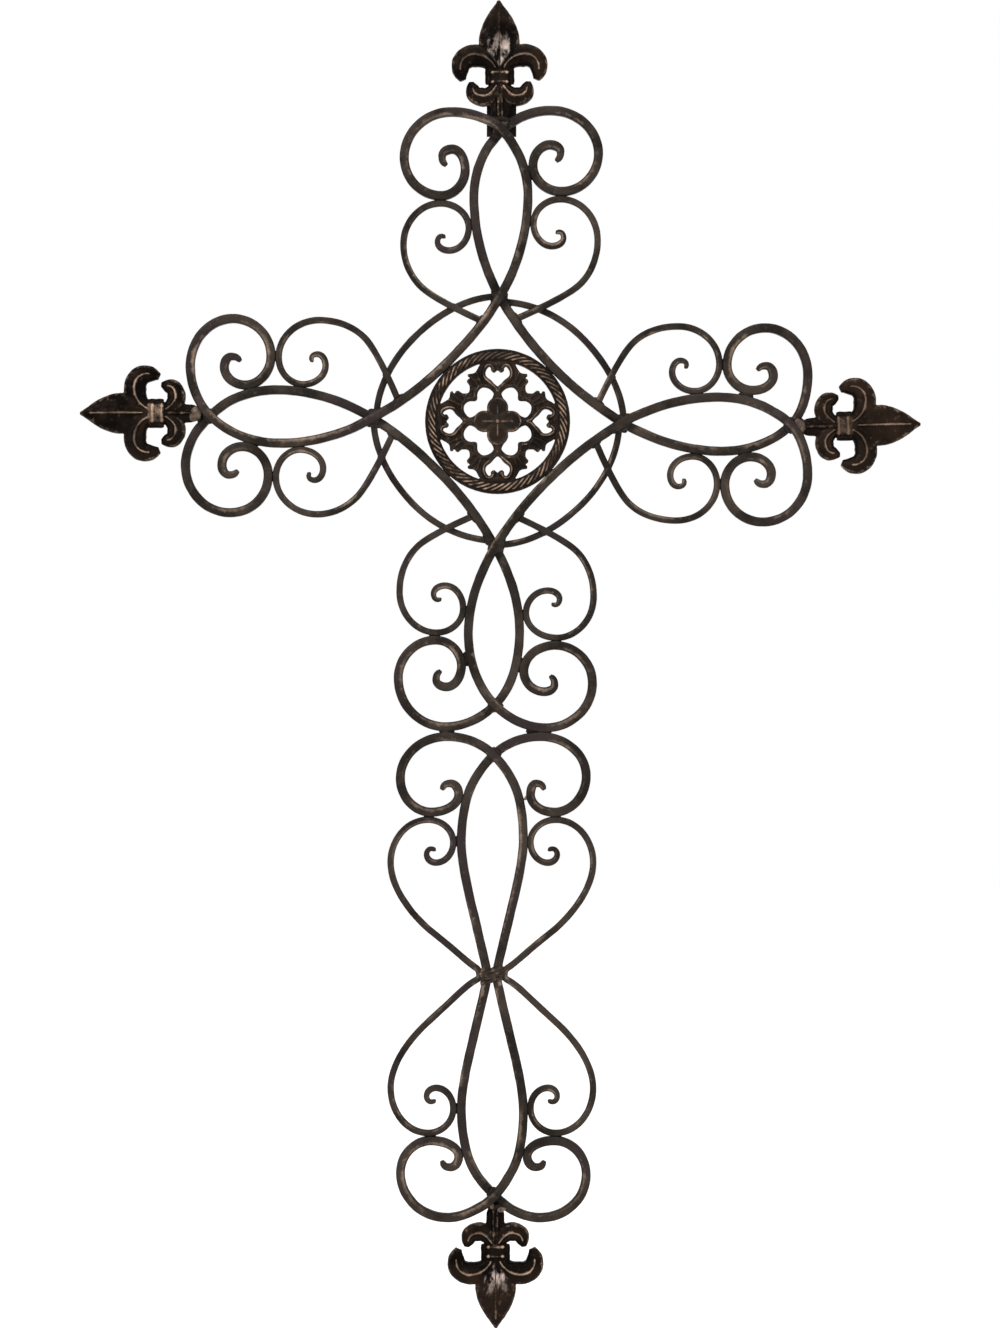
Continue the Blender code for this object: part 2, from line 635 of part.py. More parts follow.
def block_mesh(size, centre):
    shape = bmesh.new()
    bmesh.ops.create_cube(shape, size=1.0)
    bmesh.ops.scale(shape, vec=size, verts=shape.verts)
    bmesh.ops.translate(shape, vec=centre, verts=shape.verts)
    mesh = bpy.data.meshes.new("block")
    shape.to_mesh(mesh)
    shape.free()
    return mesh


def limb_mesh(sheet, material, knots, half_widths, crest, back, samples):
    """A cast leaf or spear: a flat-backed, ridged section drawn along a line, as wide as asked at each knot."""
    full = max(half_widths)
    corners = [(-full, -back), (full, -back), (full, 0.0), (0.0, crest), (-full, 0.0)]
    section = sheet.section("limb_section", corners)
    line, radii = [], []
    dense = through(knots)
    for i in range(len(knots) - 1):
        for k in range(samples):
            t = k / samples
            line.append(dense[i * SAMPLES_PER_ARC + round(t * SAMPLES_PER_ARC)])
            smooth = t * t * (3 - 2 * t)
            radii.append((half_widths[i] * (1 - smooth) + half_widths[i + 1] * smooth) / full)
    line.append(dense[-1])
    radii.append(half_widths[-1] / full)
    line = [Vector((p.x, p.y, 0.0)) for p in line]
    item = sheet.add("limb", bar_curve("limb", line, section, radii), None)
    mesh = mesh_from(item, material)
    bpy.data.objects.remove(section)
    return mesh


def leaf_mesh(sheet, material, leaf, base, side, back):
    """One of a finial's leaves, from the knots that it is listed by."""
    knots = [(side * out * MM, base + along * MM, 90.0 - side * turn) for out, along, turn, _ in leaf]
    widths = [half_width * MM for *_, half_width in leaf]
    return limb_mesh(sheet, material, knots, widths, LEAF_RELIEF, back, 2)


def spear_mesh(sheet, material, base, foot, tip):
    widest = base + SPEAR_WIDEST_ALONG
    knots = [(0.0, foot, 90.0), (0.0, widest, 90.0)]
    widths = [SPEAR_FOOT_HALF_WIDTH, SPEAR_HALF_WIDTH]
    for share in (0.4, 0.7, 0.9, 1.0):
        knots.append((0.0, widest + (tip - widest) * share, 90.0))
        widths.append(max(SPEAR_TIP_HALF_WIDTH, SPEAR_HALF_WIDTH * (1 - share**2)))
    return limb_mesh(sheet, material, knots, widths, FINIAL_RELIEF, FINIAL_BACK, 1)


def stem_mesh(sheet, material, end):
    corners = [
        (-STEM_END_HALF_WIDTH, 0.0),
        (STEM_END_HALF_WIDTH, 0.0),
        (STEM_HALF_WIDTH, STEM_TAPER),
        (STEM_HALF_WIDTH, end),
        (-STEM_HALF_WIDTH, end),
        (-STEM_HALF_WIDTH, STEM_TAPER),
    ]
    stem = filled_outline("stem", [corners], (STEM_BACK + STEM_FRONT) / 2)
    mesh = mesh_from(sheet.add("stem", stem, None), material)
    for vertex in mesh.vertices:
        vertex.co.z += (STEM_FRONT - STEM_BACK) / 2
    return mesh


def finial_mesh(sheet, material, base):
    """A fleur-de-lis standing on its stem's end, its back flat."""
    collar = base + COLLAR_ALONG
    foot = collar - COLLAR_LENGTH / 2
    pieces = [spear_mesh(sheet, material, base, foot, base + FINIAL_LENGTH)]
    for side in (1, -1):
        pieces.append(leaf_mesh(sheet, material, LARGE_LEAF, base, side, LARGE_LEAF_BACK))
        pieces.append(leaf_mesh(sheet, material, SMALL_LEAF, base, side, SMALL_LEAF_BACK))
    pieces.append(stem_mesh(sheet, material, foot))
    rib_length = foot - 2 * STEM_TAPER
    rib_centre = (0.0, foot - rib_length / 2 + STEM_TAPER / 2, STEM_RIB[1] / 2)
    pieces.append(block_mesh((STEM_RIB[0], rib_length, STEM_RIB[1]), rib_centre))
    size = (2 * COLLAR_HALF_WIDTH, COLLAR_LENGTH, COLLAR_BACK + COLLAR_FRONT)
    pieces.append(block_mesh(size, (0.0, collar, (COLLAR_FRONT - COLLAR_BACK) / 2)))
    for side in (1, -1):
        along = collar + side * ((COLLAR_LENGTH - BAND_WIDTH) / 2 - BAND_MARGIN)
        pieces.append(block_mesh((2 * BAND_HALF_WIDTH, BAND_WIDTH, BAND_FRONT), (0.0, along, BAND_FRONT / 2)))
    return joined(sheet, "finial", pieces, material)


def add_finials(sheet, material):
    plain = finial_mesh(sheet, material, 0.0)
    long_stem = finial_mesh(sheet, material, BOTTOM_STEM_EXTRA)
    spread = math.radians(OUTER_CROSSING_DEG)
    seat = (HEAVY_HALF + STEM_END_HALF_WIDTH * math.cos(spread)) / math.sin(spread) + WELD_GAP
    for arm in ARM_ORDER:
        bearing = 270.0 if arm == "bottom" else ARM_BEARING_DEG[arm]
        crossing = arm_point(arm, OUTER_CROSSING[arm])
        if arm == "bottom":
            crossing = shaft_top() - Vector((0.0, 2 * SHAFT_HALF))
        place = crossing + heading(bearing) * seat + heading(bearing + 90.0) * FINIAL_OFFSET[arm]
        finial = sheet.add(f"finial_{arm}", long_stem if arm == "bottom" else plain, material)
        finial.location = (place.x, place.y, 0.0)
        finial.rotation_euler = (0.0, 0.0, math.radians(bearing + FINIAL_TILT_DEG[arm] - 90.0))


def filled_outline(name, outlines, half_thickness):
    """A flat plate: the first outline, less the others."""
    curve = bpy.data.curves.new(name, "CURVE")
    curve.dimensions = "2D"
    curve.fill_mode = "BOTH"
    curve.extrude = half_thickness
    for outline in outlines:
        spline = curve.splines.new("POLY")
        spline.points.add(len(outline) - 1)
        for point, place in zip(spline.points, outline):
            point.co = (place[0], place[1], 0.0, 1.0)
        spline.use_cyclic_u = True
    return curve


def round_outline(radius, count):
    return [heading(360.0 * i / count) * radius for i in range(count)]


def drawn(pattern):
    return [Vector(place) * PATTERN_UNIT for place in pattern]


def across_diagonal(points):
    return [Vector((p.y, p.x)) for p in reversed(points)]


def rosette_voids():
    """The openings of the top quarter: a heart, a two-lobed light and an outer crescent."""
    heart, light, tuft = drawn(HEART_PATTERN), drawn(LIGHT_PATTERN), drawn(TUFT_PATTERN)
    heart += [Vector((-p.x, p.y)) for p in reversed(heart[1:])]
    rim = [heading(d) * (ROSETTE_RADIUS - ROPE_WIDTH + WELD_GAP) for d in CRESCENT_RIM_DEG]
    inward = tuft[::-1]
    crescent = rim + across_diagonal(rim)[1:] + across_diagonal(inward)[:-1] + inward
    return [heart, light + across_diagonal(light), crescent]


def quatrefoil_outline(reach, lobe_radius, count):
    """Four round lobes about the centre."""
    outline = []
    for quarter in range(4):
        bearing = quarter * 90.0
        centre = heading(bearing) * (reach - lobe_radius)
        for i in range(count):
            turn = -105.0 + 210.0 * i / (count - 1)
            outline.append(centre + heading(bearing + turn) * lobe_radius)
    return outline


def turned(points, degrees):
    x_axis, y_axis = heading(degrees), heading(degrees + 90.0)
    return [x_axis * p.x + y_axis * p.y for p in points]


def rope_ring_mesh(sheet, material):
    """The rosette's rim, turned from a rounded profile."""
    half_w, half_d = ROPE_WIDTH / 2, ROPE_DEPTH / 2
    profile = [(half_w, ROPE_SHOULDER * half_d), (ROPE_CROWN * half_w, half_d), (-ROPE_CROWN * half_w, half_d)]
    profile += [(-half_w, ROPE_SHOULDER * half_d), (-half_w, -half_d), (half_w, -half_d)]
    section = sheet.section("rope_section", profile)
    circle = round_outline(ROSETTE_RADIUS - half_w, ROSETTE_SIDES)
    curve = bar_curve("rope", [Vector((*p, 0.0)) for p in circle], section)
    curve.splines[0].use_cyclic_u = True
    mesh = mesh_from(sheet.add("rope", curve, None), material)
    bpy.data.objects.remove(section)
    return mesh


def pearl_mesh():
    shape = bmesh.new()
    bmesh.ops.create_uvsphere(shape, u_segments=8, v_segments=5, radius=PEARL_RADIUS)
    bmesh.ops.translate(shape, vec=(0.0, 0.0, ROSETTE_WEB / 2 + QUATREFOIL_RISE), verts=shape.verts)
    mesh = bpy.data.meshes.new("pearl")
    shape.to_mesh(mesh)
    shape.free()
    return mesh


def add_rosette(sheet, material):
    """The cast rosette: an openwork web in a round rim, with a raised quatrefoil and a pearl."""
    outlines = [round_outline(ROSETTE_RADIUS - ROPE_WIDTH / 2, ROSETTE_SIDES)]
    for quarter in range(4):
        outlines += [turned(void, quarter * 90.0) for void in rosette_voids()]
    web = filled_outline("web", outlines, ROSETTE_WEB / 2)
    web = mesh_from(sheet.add("web", web, None), material)
    half_rise = (ROSETTE_WEB / 2 + QUATREFOIL_RISE) / 2
    lobes = quatrefoil_outline(QUATREFOIL_REACH * PATTERN_UNIT, QUATREFOIL_LOBE * PATTERN_UNIT, 5)
    boss = filled_outline("boss", [lobes], half_rise)
    boss = mesh_from(sheet.add("boss", boss, None), material)
    for vertex in boss.vertices:
        vertex.co.z += half_rise
    mesh = joined(sheet, "rosette", [web, rope_ring_mesh(sheet, material), boss, pearl_mesh()], material)
    rosette = sheet.add("rosette", mesh, material)
    rosette.location = (*ROSETTE_OFFSET, 0.0)


def add_binding(sheet, material):
    """The band that holds the four bars together at the waist."""
    waist = shaft_top() - Vector((-WAIST_OFFSET, SHAFT_HALF))
    inner_x = HEAVY_BAR + WAIST_HALF_GAP + BINDING_GAP
    inner_z = HEAVY_HALF + WELD_GAP
    outline, hole = [], []
    for ring, grow in ((hole, 0.0), (outline, BINDING_WALL)):
        x, z, cut = inner_x + grow, inner_z + grow, 0.8 * MM if grow else 0.0
        corners = [(x, z - cut), (x - cut, z), (-x + cut, z), (-x, z - cut)]
        corners += [(-x, -z + cut), (-x + cut, -z), (x - cut, -z), (x, -z + cut)]
        ring += corners if grow else [(x, z), (-x, z), (-x, -z), (x, -z)]
    band = sheet.add("waist_binding", filled_outline("waist_binding", [outline, hole], BINDING_LENGTH / 2), material)
    band.location = (waist.x, waist.y, 0.0)
    band.rotation_euler = (math.pi / 2, 0.0, 0.0)


def plate_places():
    """The hanger plate's bottom and top, and the cross's origin between its slot and its top edge."""
    crossing = arm_point("top", OUTER_CROSSING["top"])
    bottom = crossing.y - PLATE_BELOW_CROSSING
    top = bottom + PLATE_HEIGHT
    origin = top - SLOT_TOP_MARGIN / 2
    return Vector((crossing.x, bottom)), Vector((crossing.x, top)), Vector((crossing.x, origin))


def add_hanger(sheet, material):
    """A flat plate behind the top crossing, with a keyhole whose slot hangs on a nail."""
    bottom, top, _ = plate_places()
    bearing = top - Vector((0.0, SLOT_TOP_MARGIN))
    half = PLATE_WIDTH / 2
    outline = [(bottom.x - half, bottom.y), (bottom.x + half, bottom.y), (top.x + half, top.y), (top.x - half, top.y)]
    slot, hole = SLOT_WIDTH / 2, KEYHOLE_DIAMETER / 2
    crown = bearing - Vector((0.0, slot))
    hole_centre = bearing - Vector((0.0, slot + KEYHOLE_DROP))
    arch = [crown + heading(d) * slot for d in (0.0, 45.0, 90.0, 135.0, 180.0)]
    meet = math.degrees(math.acos(slot / hole))
    sweep = 180.0 + 2 * meet
    bowl = [hole_centre + heading(180.0 - meet + sweep * i / 10) * hole for i in range(11)]
    plate = filled_outline("hanger_plate", [outline, arch + bowl], PLATE_THICKNESS / 2)
    item = sheet.add("hanger_plate", plate, material)
    item.location = (0.0, 0.0, plate_depth())


def plate_depth():
    """The plate's middle, behind the rear bar of the crossing."""
    return -(CROSSING_STEP + HEAVY_HALF + WELD_GAP + PLATE_THICKNESS / 2)


def build():
    clear_scene()
    origin = plate_places()[2]
    wall = -(plate_depth() - PLATE_THICKNESS / 2)
    sheet = Sheet((-origin.x, -wall, -origin.y))
    iron = metal("bronzed_iron", (0.045, 0.036, 0.03), 0.5)
    casting = metal("bronzed_casting", (0.05, 0.036, 0.028), 0.45)
    plate = metal("hanger_steel", (0.03, 0.028, 0.026), 0.6)
    heavy = square_section(sheet, "heavy_section", HEAVY_HALF)
    light = square_section(sheet, "light_section", LIGHT_HALF)
    lines = add_arm_bars(sheet, iron, heavy)
    add_light_scrolls(sheet, iron, light, lines)
    add_ring(sheet, iron, light, lines)
    add_shaft_bars(sheet, iron, heavy, light)
    add_binding(sheet, iron)
    add_rosette(sheet, casting)
    add_finials(sheet, casting)
    add_hanger(sheet, plate)


build()
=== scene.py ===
"""The looks of the metal wall cross: forged bars, cast ends and rosette, weld beads, a pale studio."""
import math

import bmesh
import bpy
import numpy as np
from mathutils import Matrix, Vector, noise


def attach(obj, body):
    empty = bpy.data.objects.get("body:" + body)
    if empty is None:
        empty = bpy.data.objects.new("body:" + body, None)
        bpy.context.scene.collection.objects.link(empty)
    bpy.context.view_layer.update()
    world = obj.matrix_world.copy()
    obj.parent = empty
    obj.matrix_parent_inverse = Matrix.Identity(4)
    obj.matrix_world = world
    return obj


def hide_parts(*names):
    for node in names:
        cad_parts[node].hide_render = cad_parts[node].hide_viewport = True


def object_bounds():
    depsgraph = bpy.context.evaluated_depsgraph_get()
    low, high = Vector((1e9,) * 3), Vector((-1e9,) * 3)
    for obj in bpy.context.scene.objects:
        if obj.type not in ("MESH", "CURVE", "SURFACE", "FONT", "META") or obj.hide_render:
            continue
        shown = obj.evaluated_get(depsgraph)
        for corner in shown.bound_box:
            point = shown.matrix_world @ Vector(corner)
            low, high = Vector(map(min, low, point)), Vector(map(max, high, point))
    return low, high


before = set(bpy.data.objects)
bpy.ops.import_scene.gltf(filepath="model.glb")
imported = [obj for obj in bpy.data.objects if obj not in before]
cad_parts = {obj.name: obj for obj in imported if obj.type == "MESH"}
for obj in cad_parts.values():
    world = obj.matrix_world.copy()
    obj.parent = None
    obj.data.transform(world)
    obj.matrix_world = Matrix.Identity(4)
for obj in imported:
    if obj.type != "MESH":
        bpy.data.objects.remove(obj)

# All lengths are in metres, apart from tables that say millimetres or pattern units
MM = 0.001

# Looks of the forged bars: edges, extra width over the solids, hooked tips, the waist's knot and the painted
# highlight band
CORNER_SHARE = 0.42
BAR_SWELL = 0.00014
LIGHT_SWELL = 0.00026
BAR_STEP = 0.0011
TIP_BALL = 0.6
HOOK_STEPS = 4
HOOK_DEG = 42.0
KNOT_REACH = 0.009
KNOT_PULL = 0.0019
KNOT_SQUEEZE = 0.45
HIGHLIGHT_RADIUS = 0.04
HIGHLIGHT_MIDDLE = 0.5
HIGHLIGHT_SPREAD = 0.33
# Each kind of dent: its size, its depth as a share of the bar, and its seed
BAR_DENTS = ((7.0 * MM, 0.05, 0), (2.2 * MM, 0.022, 50))

# Looks of the weld beads; sizes are half lengths, half widths and half depths
WELD_REACH = 0.0013
WELD_LENGTH = 0.0062
CONTACT_STEP = 1.5 * MM
CONTACT_SPACING = 16.0 * MM
OPEN_GAP = 2.0 * MM
BEAD_TURNS = 16
BEAD_ROWS = 9
FOOT_WELD = (0.0043, 0.0023, 0.0018)
SEAT_WELD = (0.0052, 0.0024, 0.0026)
PAD_WELD = (3.5 * MM, 2.6 * MM, 1.8 * MM)
WELD_PADS = ((-0.0307, -0.1783), (0.0189, -0.1777))
# In millimetres in the sheet: place, half length and half width, and how far it is turned in degrees
BRIGHT_WELDS = ((16.5, -215.8, 0.4, 3.4, 1.0, 42.0), (-4.4, -449.6, 3.0, 2.6, 1.4, 110.0),
                (1.2, -452.4, 2.6, 2.8, 1.5, 15.0), (-9.4, -315.6, 1.2, 2.6, 1.2, 75.0),
                (2.2, 171.0, 0.4, 3.4, 2.4, 20.0), (171.6, -4.2, 3.0, 4.8, 3.8, 78.0),
                (-173.8, 3.8, 2.0, 4.6, 3.4, 70.0))

# Looks of all castings: the sides of a round line and how full a leaf is
ROD_SIDES = 10
DOME_POWER = 0.85

# Looks of the finials. The leaves' knots are a place sideways and along in millimetres, and a heading
# off the axis, turning outwards
FINIAL_VOXEL = 0.00042
LARGE_CREST = ((2.0, 27.6, 16.0), (14.4, 36.7, 88.0), (22.4, 30.4, 172.0), (21.0, 22.6, 204.0))
SMALL_CREST = ((1.6, 19.6, 150.0), (8.8, 12.9, 92.0), (15.3, 16.4, 14.0), (16.3, 21.6, -14.0))
SPEAR_NECK = 4.6 * MM
RIB_OFFSET = 1.15 * MM
# Rows of a share of a casting's length, with its half width and its height there in millimetres
LARGE_LEAF_SHAPE = ((0.0, 2.4, 2.8), (0.16, 4.6, 3.4), (0.42, 6.55, 3.7), (0.7, 5.9, 3.6), (0.88, 4.4, 3.0),
                    (1.0, 1.9, 1.4))
SMALL_LEAF_SHAPE = ((0.0, 2.4, 2.6), (0.2, 4.4, 3.2), (0.45, 5.45, 3.5), (0.72, 4.9, 3.2), (0.9, 3.4, 2.4),
                    (1.0, 1.5, 1.1))
STEM_SHAPE = ((0.0, 3.6, 1.4), (0.12, 5.2, 1.7), (0.45, 5.2, 1.8), (0.6, 5.5, 2.2), (1.0, 6.6, 2.6))
COLLAR_SHAPE = ((0.0, 8.1, 2.4), (0.2, 8.5, 3.1), (0.5, 8.3, 2.5), (0.8, 8.5, 3.1), (1.0, 8.1, 2.3))
# Each band over the collar: its place along from the collar's middle, half width and radius in millimetres
COLLAR_BANDS = ((-4.0, 5.6, 1.2), (1.4, 5.6, 1.25), (-2.1, 5.2, 0.75), (-0.5, 5.2, 0.75))

# Looks of the rosette; its patterns are points of its top quarter, in pattern units from its middle
ROSETTE_VOXEL = 0.0004
ROPE_TWISTS = 58
ROPE_SLOPE = 0.55
ROPE_GROOVE = 0.0007
QUARTERS = (0.0, 90.0, 180.0, 270.0)
LOBE_MIDDLE = 13.5
LOBE_RADIUS = 10.7
LOBE_RIDGE = ((0.0, 3.4), (0.0, 14.5))
HEART_VOID = ((0.0, 35.0), (6.4, 41.2), (11.4, 45.4), (11.8, 50.0), (8.8, 54.4), (6.5, 53.0), (5.8, 50.0),
              (3.2, 48.6))
HEART_VOID_TOP = (0.0, 51.0)
LIGHT_CORNER = (10.2, 10.2)
LIGHT_LOBE_DEG = (-8.0, 14.0, 36.0, 52.0)
LIGHT_SIDE = ((4.6, 25.4), (4.4, 28.8), (9.4, 33.0), (15.8, 33.4), (19.9, 28.8), (20.3, 22.4))
CRESCENT_RADIUS = 61.6
CRESCENT_DEG = (77.5, 71.5, 66.0, 60.5, 55.0, 50.0)
TUFT_SIDE = ((18.2, 56.0), (22.8, 48.8), (29.9, 47.2), (27.6, 43.6), (30.9, 40.0), (28.2, 36.2))
TUFT_CORNER = (29.0, 29.0)
HEART_BAR = ((0.5, 29.5), (2.2, 34.0), (7.4, 38.4), (13.0, 43.8), (14.0, 49.6), (11.4, 55.4), (7.4, 56.4),
             (5.0, 54.0), (4.4, 51.6))
LEAF_VEINS = (((18.0, 32.5), (23.0, 40.5), (29.2, 46.6)), ((20.6, 29.5), (25.6, 34.5), (30.2, 39.8)),
              ((16.2, 36.5), (18.6, 42.5), (21.6, 49.4)), ((17.0, 35.0), (21.6, 33.0), (27.6, 31.0)))
LEAF_BUDS = ((28.4, 45.7), (28.8, 40.7), (26.8, 36.7))
LIGHT_RIM = ((6.4, 34.6), (11.6, 36.0), (18.2, 35.0), (22.6, 29.6), (23.4, 24.0))
HEART_STEM = ((0.0, 22.0), (0.0, 27.0), (0.0, 33.5))
HEART_CLASP = ((-9.0, 58.6), (0.0, 57.4), (9.0, 58.6))

# Looks of the waist's wrap
WRAP_VOXEL = 0.35 * MM
WRAP_TURNS = 4
WRAP_HEIGHT = 0.0078
WRAP_WIRE = 0.0012
WRAP_HALF_WIDTH = 0.0068
WRAP_HALF_DEPTH = 0.0042
WRAP_CORE = (WRAP_HALF_WIDTH - 1.4 * MM, WRAP_HEIGHT / 2 - 1.1 * MM, WRAP_HALF_DEPTH - 1.2 * MM)

# Each finish: its dark, brown, odd and rubbed colours, the rubbed one also being the painted highlight, the
# wear that starts and ends the rubbing, its roughness and its gloss
FINISHES = {
    "forged_iron": ((0.0095, 0.0078, 0.0064), (0.034, 0.026, 0.0205), (0.02, 0.015, 0.0155),
                    (0.25, 0.18, 0.13), 0.3, 1.12, 0.4, 0.13),
    "cast_bronze": ((0.002, 0.0016, 0.0014), (0.016, 0.0095, 0.0065), (0.008, 0.0055, 0.0042),
                    (0.37, 0.255, 0.18), 0.3, 1.05, 0.33, 0.035),
    "cast_openwork": ((0.006, 0.0047, 0.0038), (0.022, 0.0145, 0.01), (0.0145, 0.01, 0.0078),
                      (0.36, 0.24, 0.165), 0.26, 1.0, 0.38, 0.12),
    "rubbed_wrap": ((0.013, 0.01, 0.008), (0.04, 0.028, 0.021), (0.026, 0.019, 0.016),
                    (0.24, 0.17, 0.125), 0.3, 1.1, 0.45, 0.12),
    "plate_steel": ((0.008, 0.007, 0.006), (0.016, 0.013, 0.011), (0.012, 0.01, 0.01),
                    (0.06, 0.045, 0.036), 0.3, 1.1, 0.55, 0.12),
}
# Near black for painted shade and for grime, then the colour of the painted glints
SHADE_AND_GRIME = (0.0014, 0.0011, 0.001)
GLINT = (0.46, 0.37, 0.32)

# The view, the studio and its lights: each light's place, size and power
CAMERA_DISTANCE = 1.6
SENSOR_WIDTH = 36.0
VIEW_WIDTH = 0.5738
VIEW_CENTRE = (-0.00088, -0.00735, -0.33)
FLOOR_DROP = 0.06
FLOOR_RADIUS = 4.0
FLOOR_SIDES = 96
PAPER = (0.88, 0.875, 0.87)
PAPER_GLOW = 0.2
WORLD_STRENGTH = 1.0
LIGHTS = {
    "key": ((-1.0, -1.5, 0.8), 0.45, 20.0),
    "fill": ((1.5, -1.2, -0.4), 0.6, 5.0),
    "top": ((0.2, -0.6, 1.2), 0.4, 9.0),
}

# The cross's own sizes, as the part has them

# Bar stock and joints
HEAVY_BAR = 4.9 * MM
LIGHT_BAR = 3.2 * MM
WELD_GAP = 0.3 * MM
TIP_TAPER = 0.62
TIP_TAPER_LENGTH = 11.0 * MM
CROSSING_RAMP = 9.0 * MM

# The cross's centre; each ring arc is named for its two arms, with its radius at the start, middle and end
ROSETTE_RADIUS = 41.6 * MM
ROSETTE_OFFSET = (-0.8 * MM, -0.6 * MM)
RING_RADII = {
    "top_left": (71.6 * MM, 68.4 * MM, 70.6 * MM),
    "left_bottom": (72.0 * MM, 68.7 * MM, 69.0 * MM),
    "bottom_right": (71.2 * MM, 67.6 * MM, 69.2 * MM),
    "right_top": (71.6 * MM, 67.6 * MM, 68.4 * MM),
}

# The four arms, each a little off square and off size because the cross is bent and welded by hand
ARM_ORDER = ("top", "left", "bottom", "right")
ARM_BEARING_DEG = {"top": 89.5, "left": 179.0, "bottom": 269.2, "right": -1.0}
OUTER_CROSSING = {"top": 166.4 * MM, "left": 165.9 * MM, "bottom": 163.3 * MM, "right": 167.3 * MM}
INNER_CROSSING = {"top": 70.8 * MM, "left": 72.4 * MM, "bottom": 72.6 * MM, "right": 71.2 * MM}
ALMOND_HALF_WIDTH = {"top": 15.5 * MM, "left": 15.3 * MM, "bottom": 14.7 * MM, "right": 15.5 * MM}
ALMOND_WIDEST = {"top": 129.0 * MM, "left": 126.4 * MM, "bottom": 121.4 * MM, "right": 126.8 * MM}
ALMOND_SHIFT = {"top": 0.0 * MM, "left": 0.0 * MM, "bottom": -1.2 * MM, "right": 0.0 * MM}
INNER_CROSSING_DEG = 30.0
OUTER_CROSSING_DEG = 45.0

# Each side of an arm: how far its heavy loop reaches, where heavy and light loop meet, the extra gap
# between heavy curl and almond, and how far the light scroll's foot is moved along the arm
ARM_SIDES = {
    ("top", 1): (176.7 * MM, 126.0 * MM, 2.0 * MM, -1.0 * MM),
    ("top", -1): (178.0 * MM, 129.0 * MM, 0.5 * MM, 0.8 * MM),
    ("left", 1): (179.4 * MM, 129.2 * MM, 0.5 * MM, 3.5 * MM),
    ("left", -1): (177.6 * MM, 128.8 * MM, 0.5 * MM, 0.0 * MM),
    ("bottom", 1): (176.0 * MM, 126.0 * MM, 0.3 * MM, -3.0 * MM),
    ("bottom", -1): (176.2 * MM, 124.0 * MM, 1.5 * MM, -4.6 * MM),
    ("right", 1): (176.7 * MM, 127.6 * MM, 1.6 * MM, -1.6 * MM),
    ("right", -1): (177.6 * MM, 127.5 * MM, 0.3 * MM, -2.8 * MM),
}

SIDE_NAMES = {
    ("top", 1): "left",
    ("top", -1): "right",
    ("left", 1): "lower",
    ("left", -1): "upper",
    ("bottom", 1): "right",
    ("bottom", -1): "left",
    ("right", 1): "upper",
    ("right", -1): "lower",
}

# The scrolls of the arms, along the arm from where the loops meet and sideways from its axis
HEAVY_LOOP_TOP_OUT = 28.7 * MM
HEAVY_LOOP_SIDE = (24.4 * MM, 55.7 * MM)
LOOP_FOOT_OUT = 34.4 * MM
HEAVY_LOOP_INNER_ALONG = 17.5 * MM
HEAVY_CURL_TOP = (29.3 * MM, 28.1 * MM)
HEAVY_CURL_SIDE = (25.3 * MM, 34.0 * MM)
HEAVY_TIP = (19.5 * MM, 31.9 * MM)
LIGHT_FOOT = (57.6 * MM, 9.6 * MM)
LIGHT_SHOULDER = (77.5 * MM, 45.6 * MM)
LIGHT_LOOP_SIDE = (-25.3 * MM, 55.7 * MM)
LIGHT_LOOP_INNER_ALONG = -15.8 * MM
LIGHT_CURL_FOOT = (-28.8 * MM, 29.6 * MM)
LIGHT_CURL_SIDE = (-23.9 * MM, 36.2 * MM)
LIGHT_TIP = (-19.9 * MM, 31.6 * MM)

# The shaft below the lower arm: an upper and a lower half that meet at its waist
SHAFT_OFFSET = -0.7 * MM
SHAFT_HALF = 126.4 * MM
SHAFT_LOOP_RISE = {"upper": 10.6 * MM, "lower": 12.6 * MM}
SHAFT_LOOP_FOOT_ALONG = {"upper": 32.8 * MM, "lower": 31.6 * MM}
SHAFT_CURL_GAP = {
    ("upper", 1): 2.0 * MM,
    ("upper", -1): 0.1 * MM,
    ("lower", 1): 0.1 * MM,
    ("lower", -1): 0.1 * MM,
}
WAIST_OFFSET = -1.1 * MM
WAIST_HALF_GAP = 0.7 * MM
SHAFT_CROSSING_DEG = 45.0
SHAFT_SHOULDER = (25.0 * MM, 15.0 * MM)
SHAFT_SHOULDER_DEG = 14.0
SHAFT_ALMOND_HALF_WIDTH = 17.8 * MM
SHAFT_ALMOND_ALONG = 49.6 * MM
SHAFT_NECK_DEG = 13.5
SHAFT_NECK = (84.0 * MM, 12.2 * MM)
SHAFT_LOOP_TOP_OUT = 26.8 * MM
SHAFT_LOOP_SIDE = (12.6 * MM, 53.3 * MM)
SHAFT_LOOP_FOOT_OUT = 35.2 * MM
SHAFT_LOOP_INNER_ALONG = 22.6 * MM
SHAFT_CURL_TOP = (16.3 * MM, 24.6 * MM)
SHAFT_TIP = (19.6 * MM, 30.2 * MM)
HEART_RISE = 1.0 * MM
HEART_STRAIGHT = 2.6 * MM
HEART_BEND_RADIUS = 3.0 * MM
HEART_SLOPE_DEG = 52.0
HEART_SHOULDER = (27.6 * MM, 37.5 * MM)
HEART_SHOULDER_DEG = 47.0
HEART_SIDE = (64.7 * MM, 58.1 * MM)
HEART_LOOP_TOP_OUT = 36.6 * MM
HEART_LOOP_INNER_ALONG = 76.3 * MM
HEART_CURL_FOOT = (64.6 * MM, 32.1 * MM)
HEART_CURL_SIDE = (69.5 * MM, 37.5 * MM)
HEART_TIP = (73.2 * MM, 32.0 * MM)

# The binding round the waist
BINDING_LENGTH = 6.6 * MM
BINDING_WALL = 1.1 * MM
BINDING_GAP = 0.5 * MM

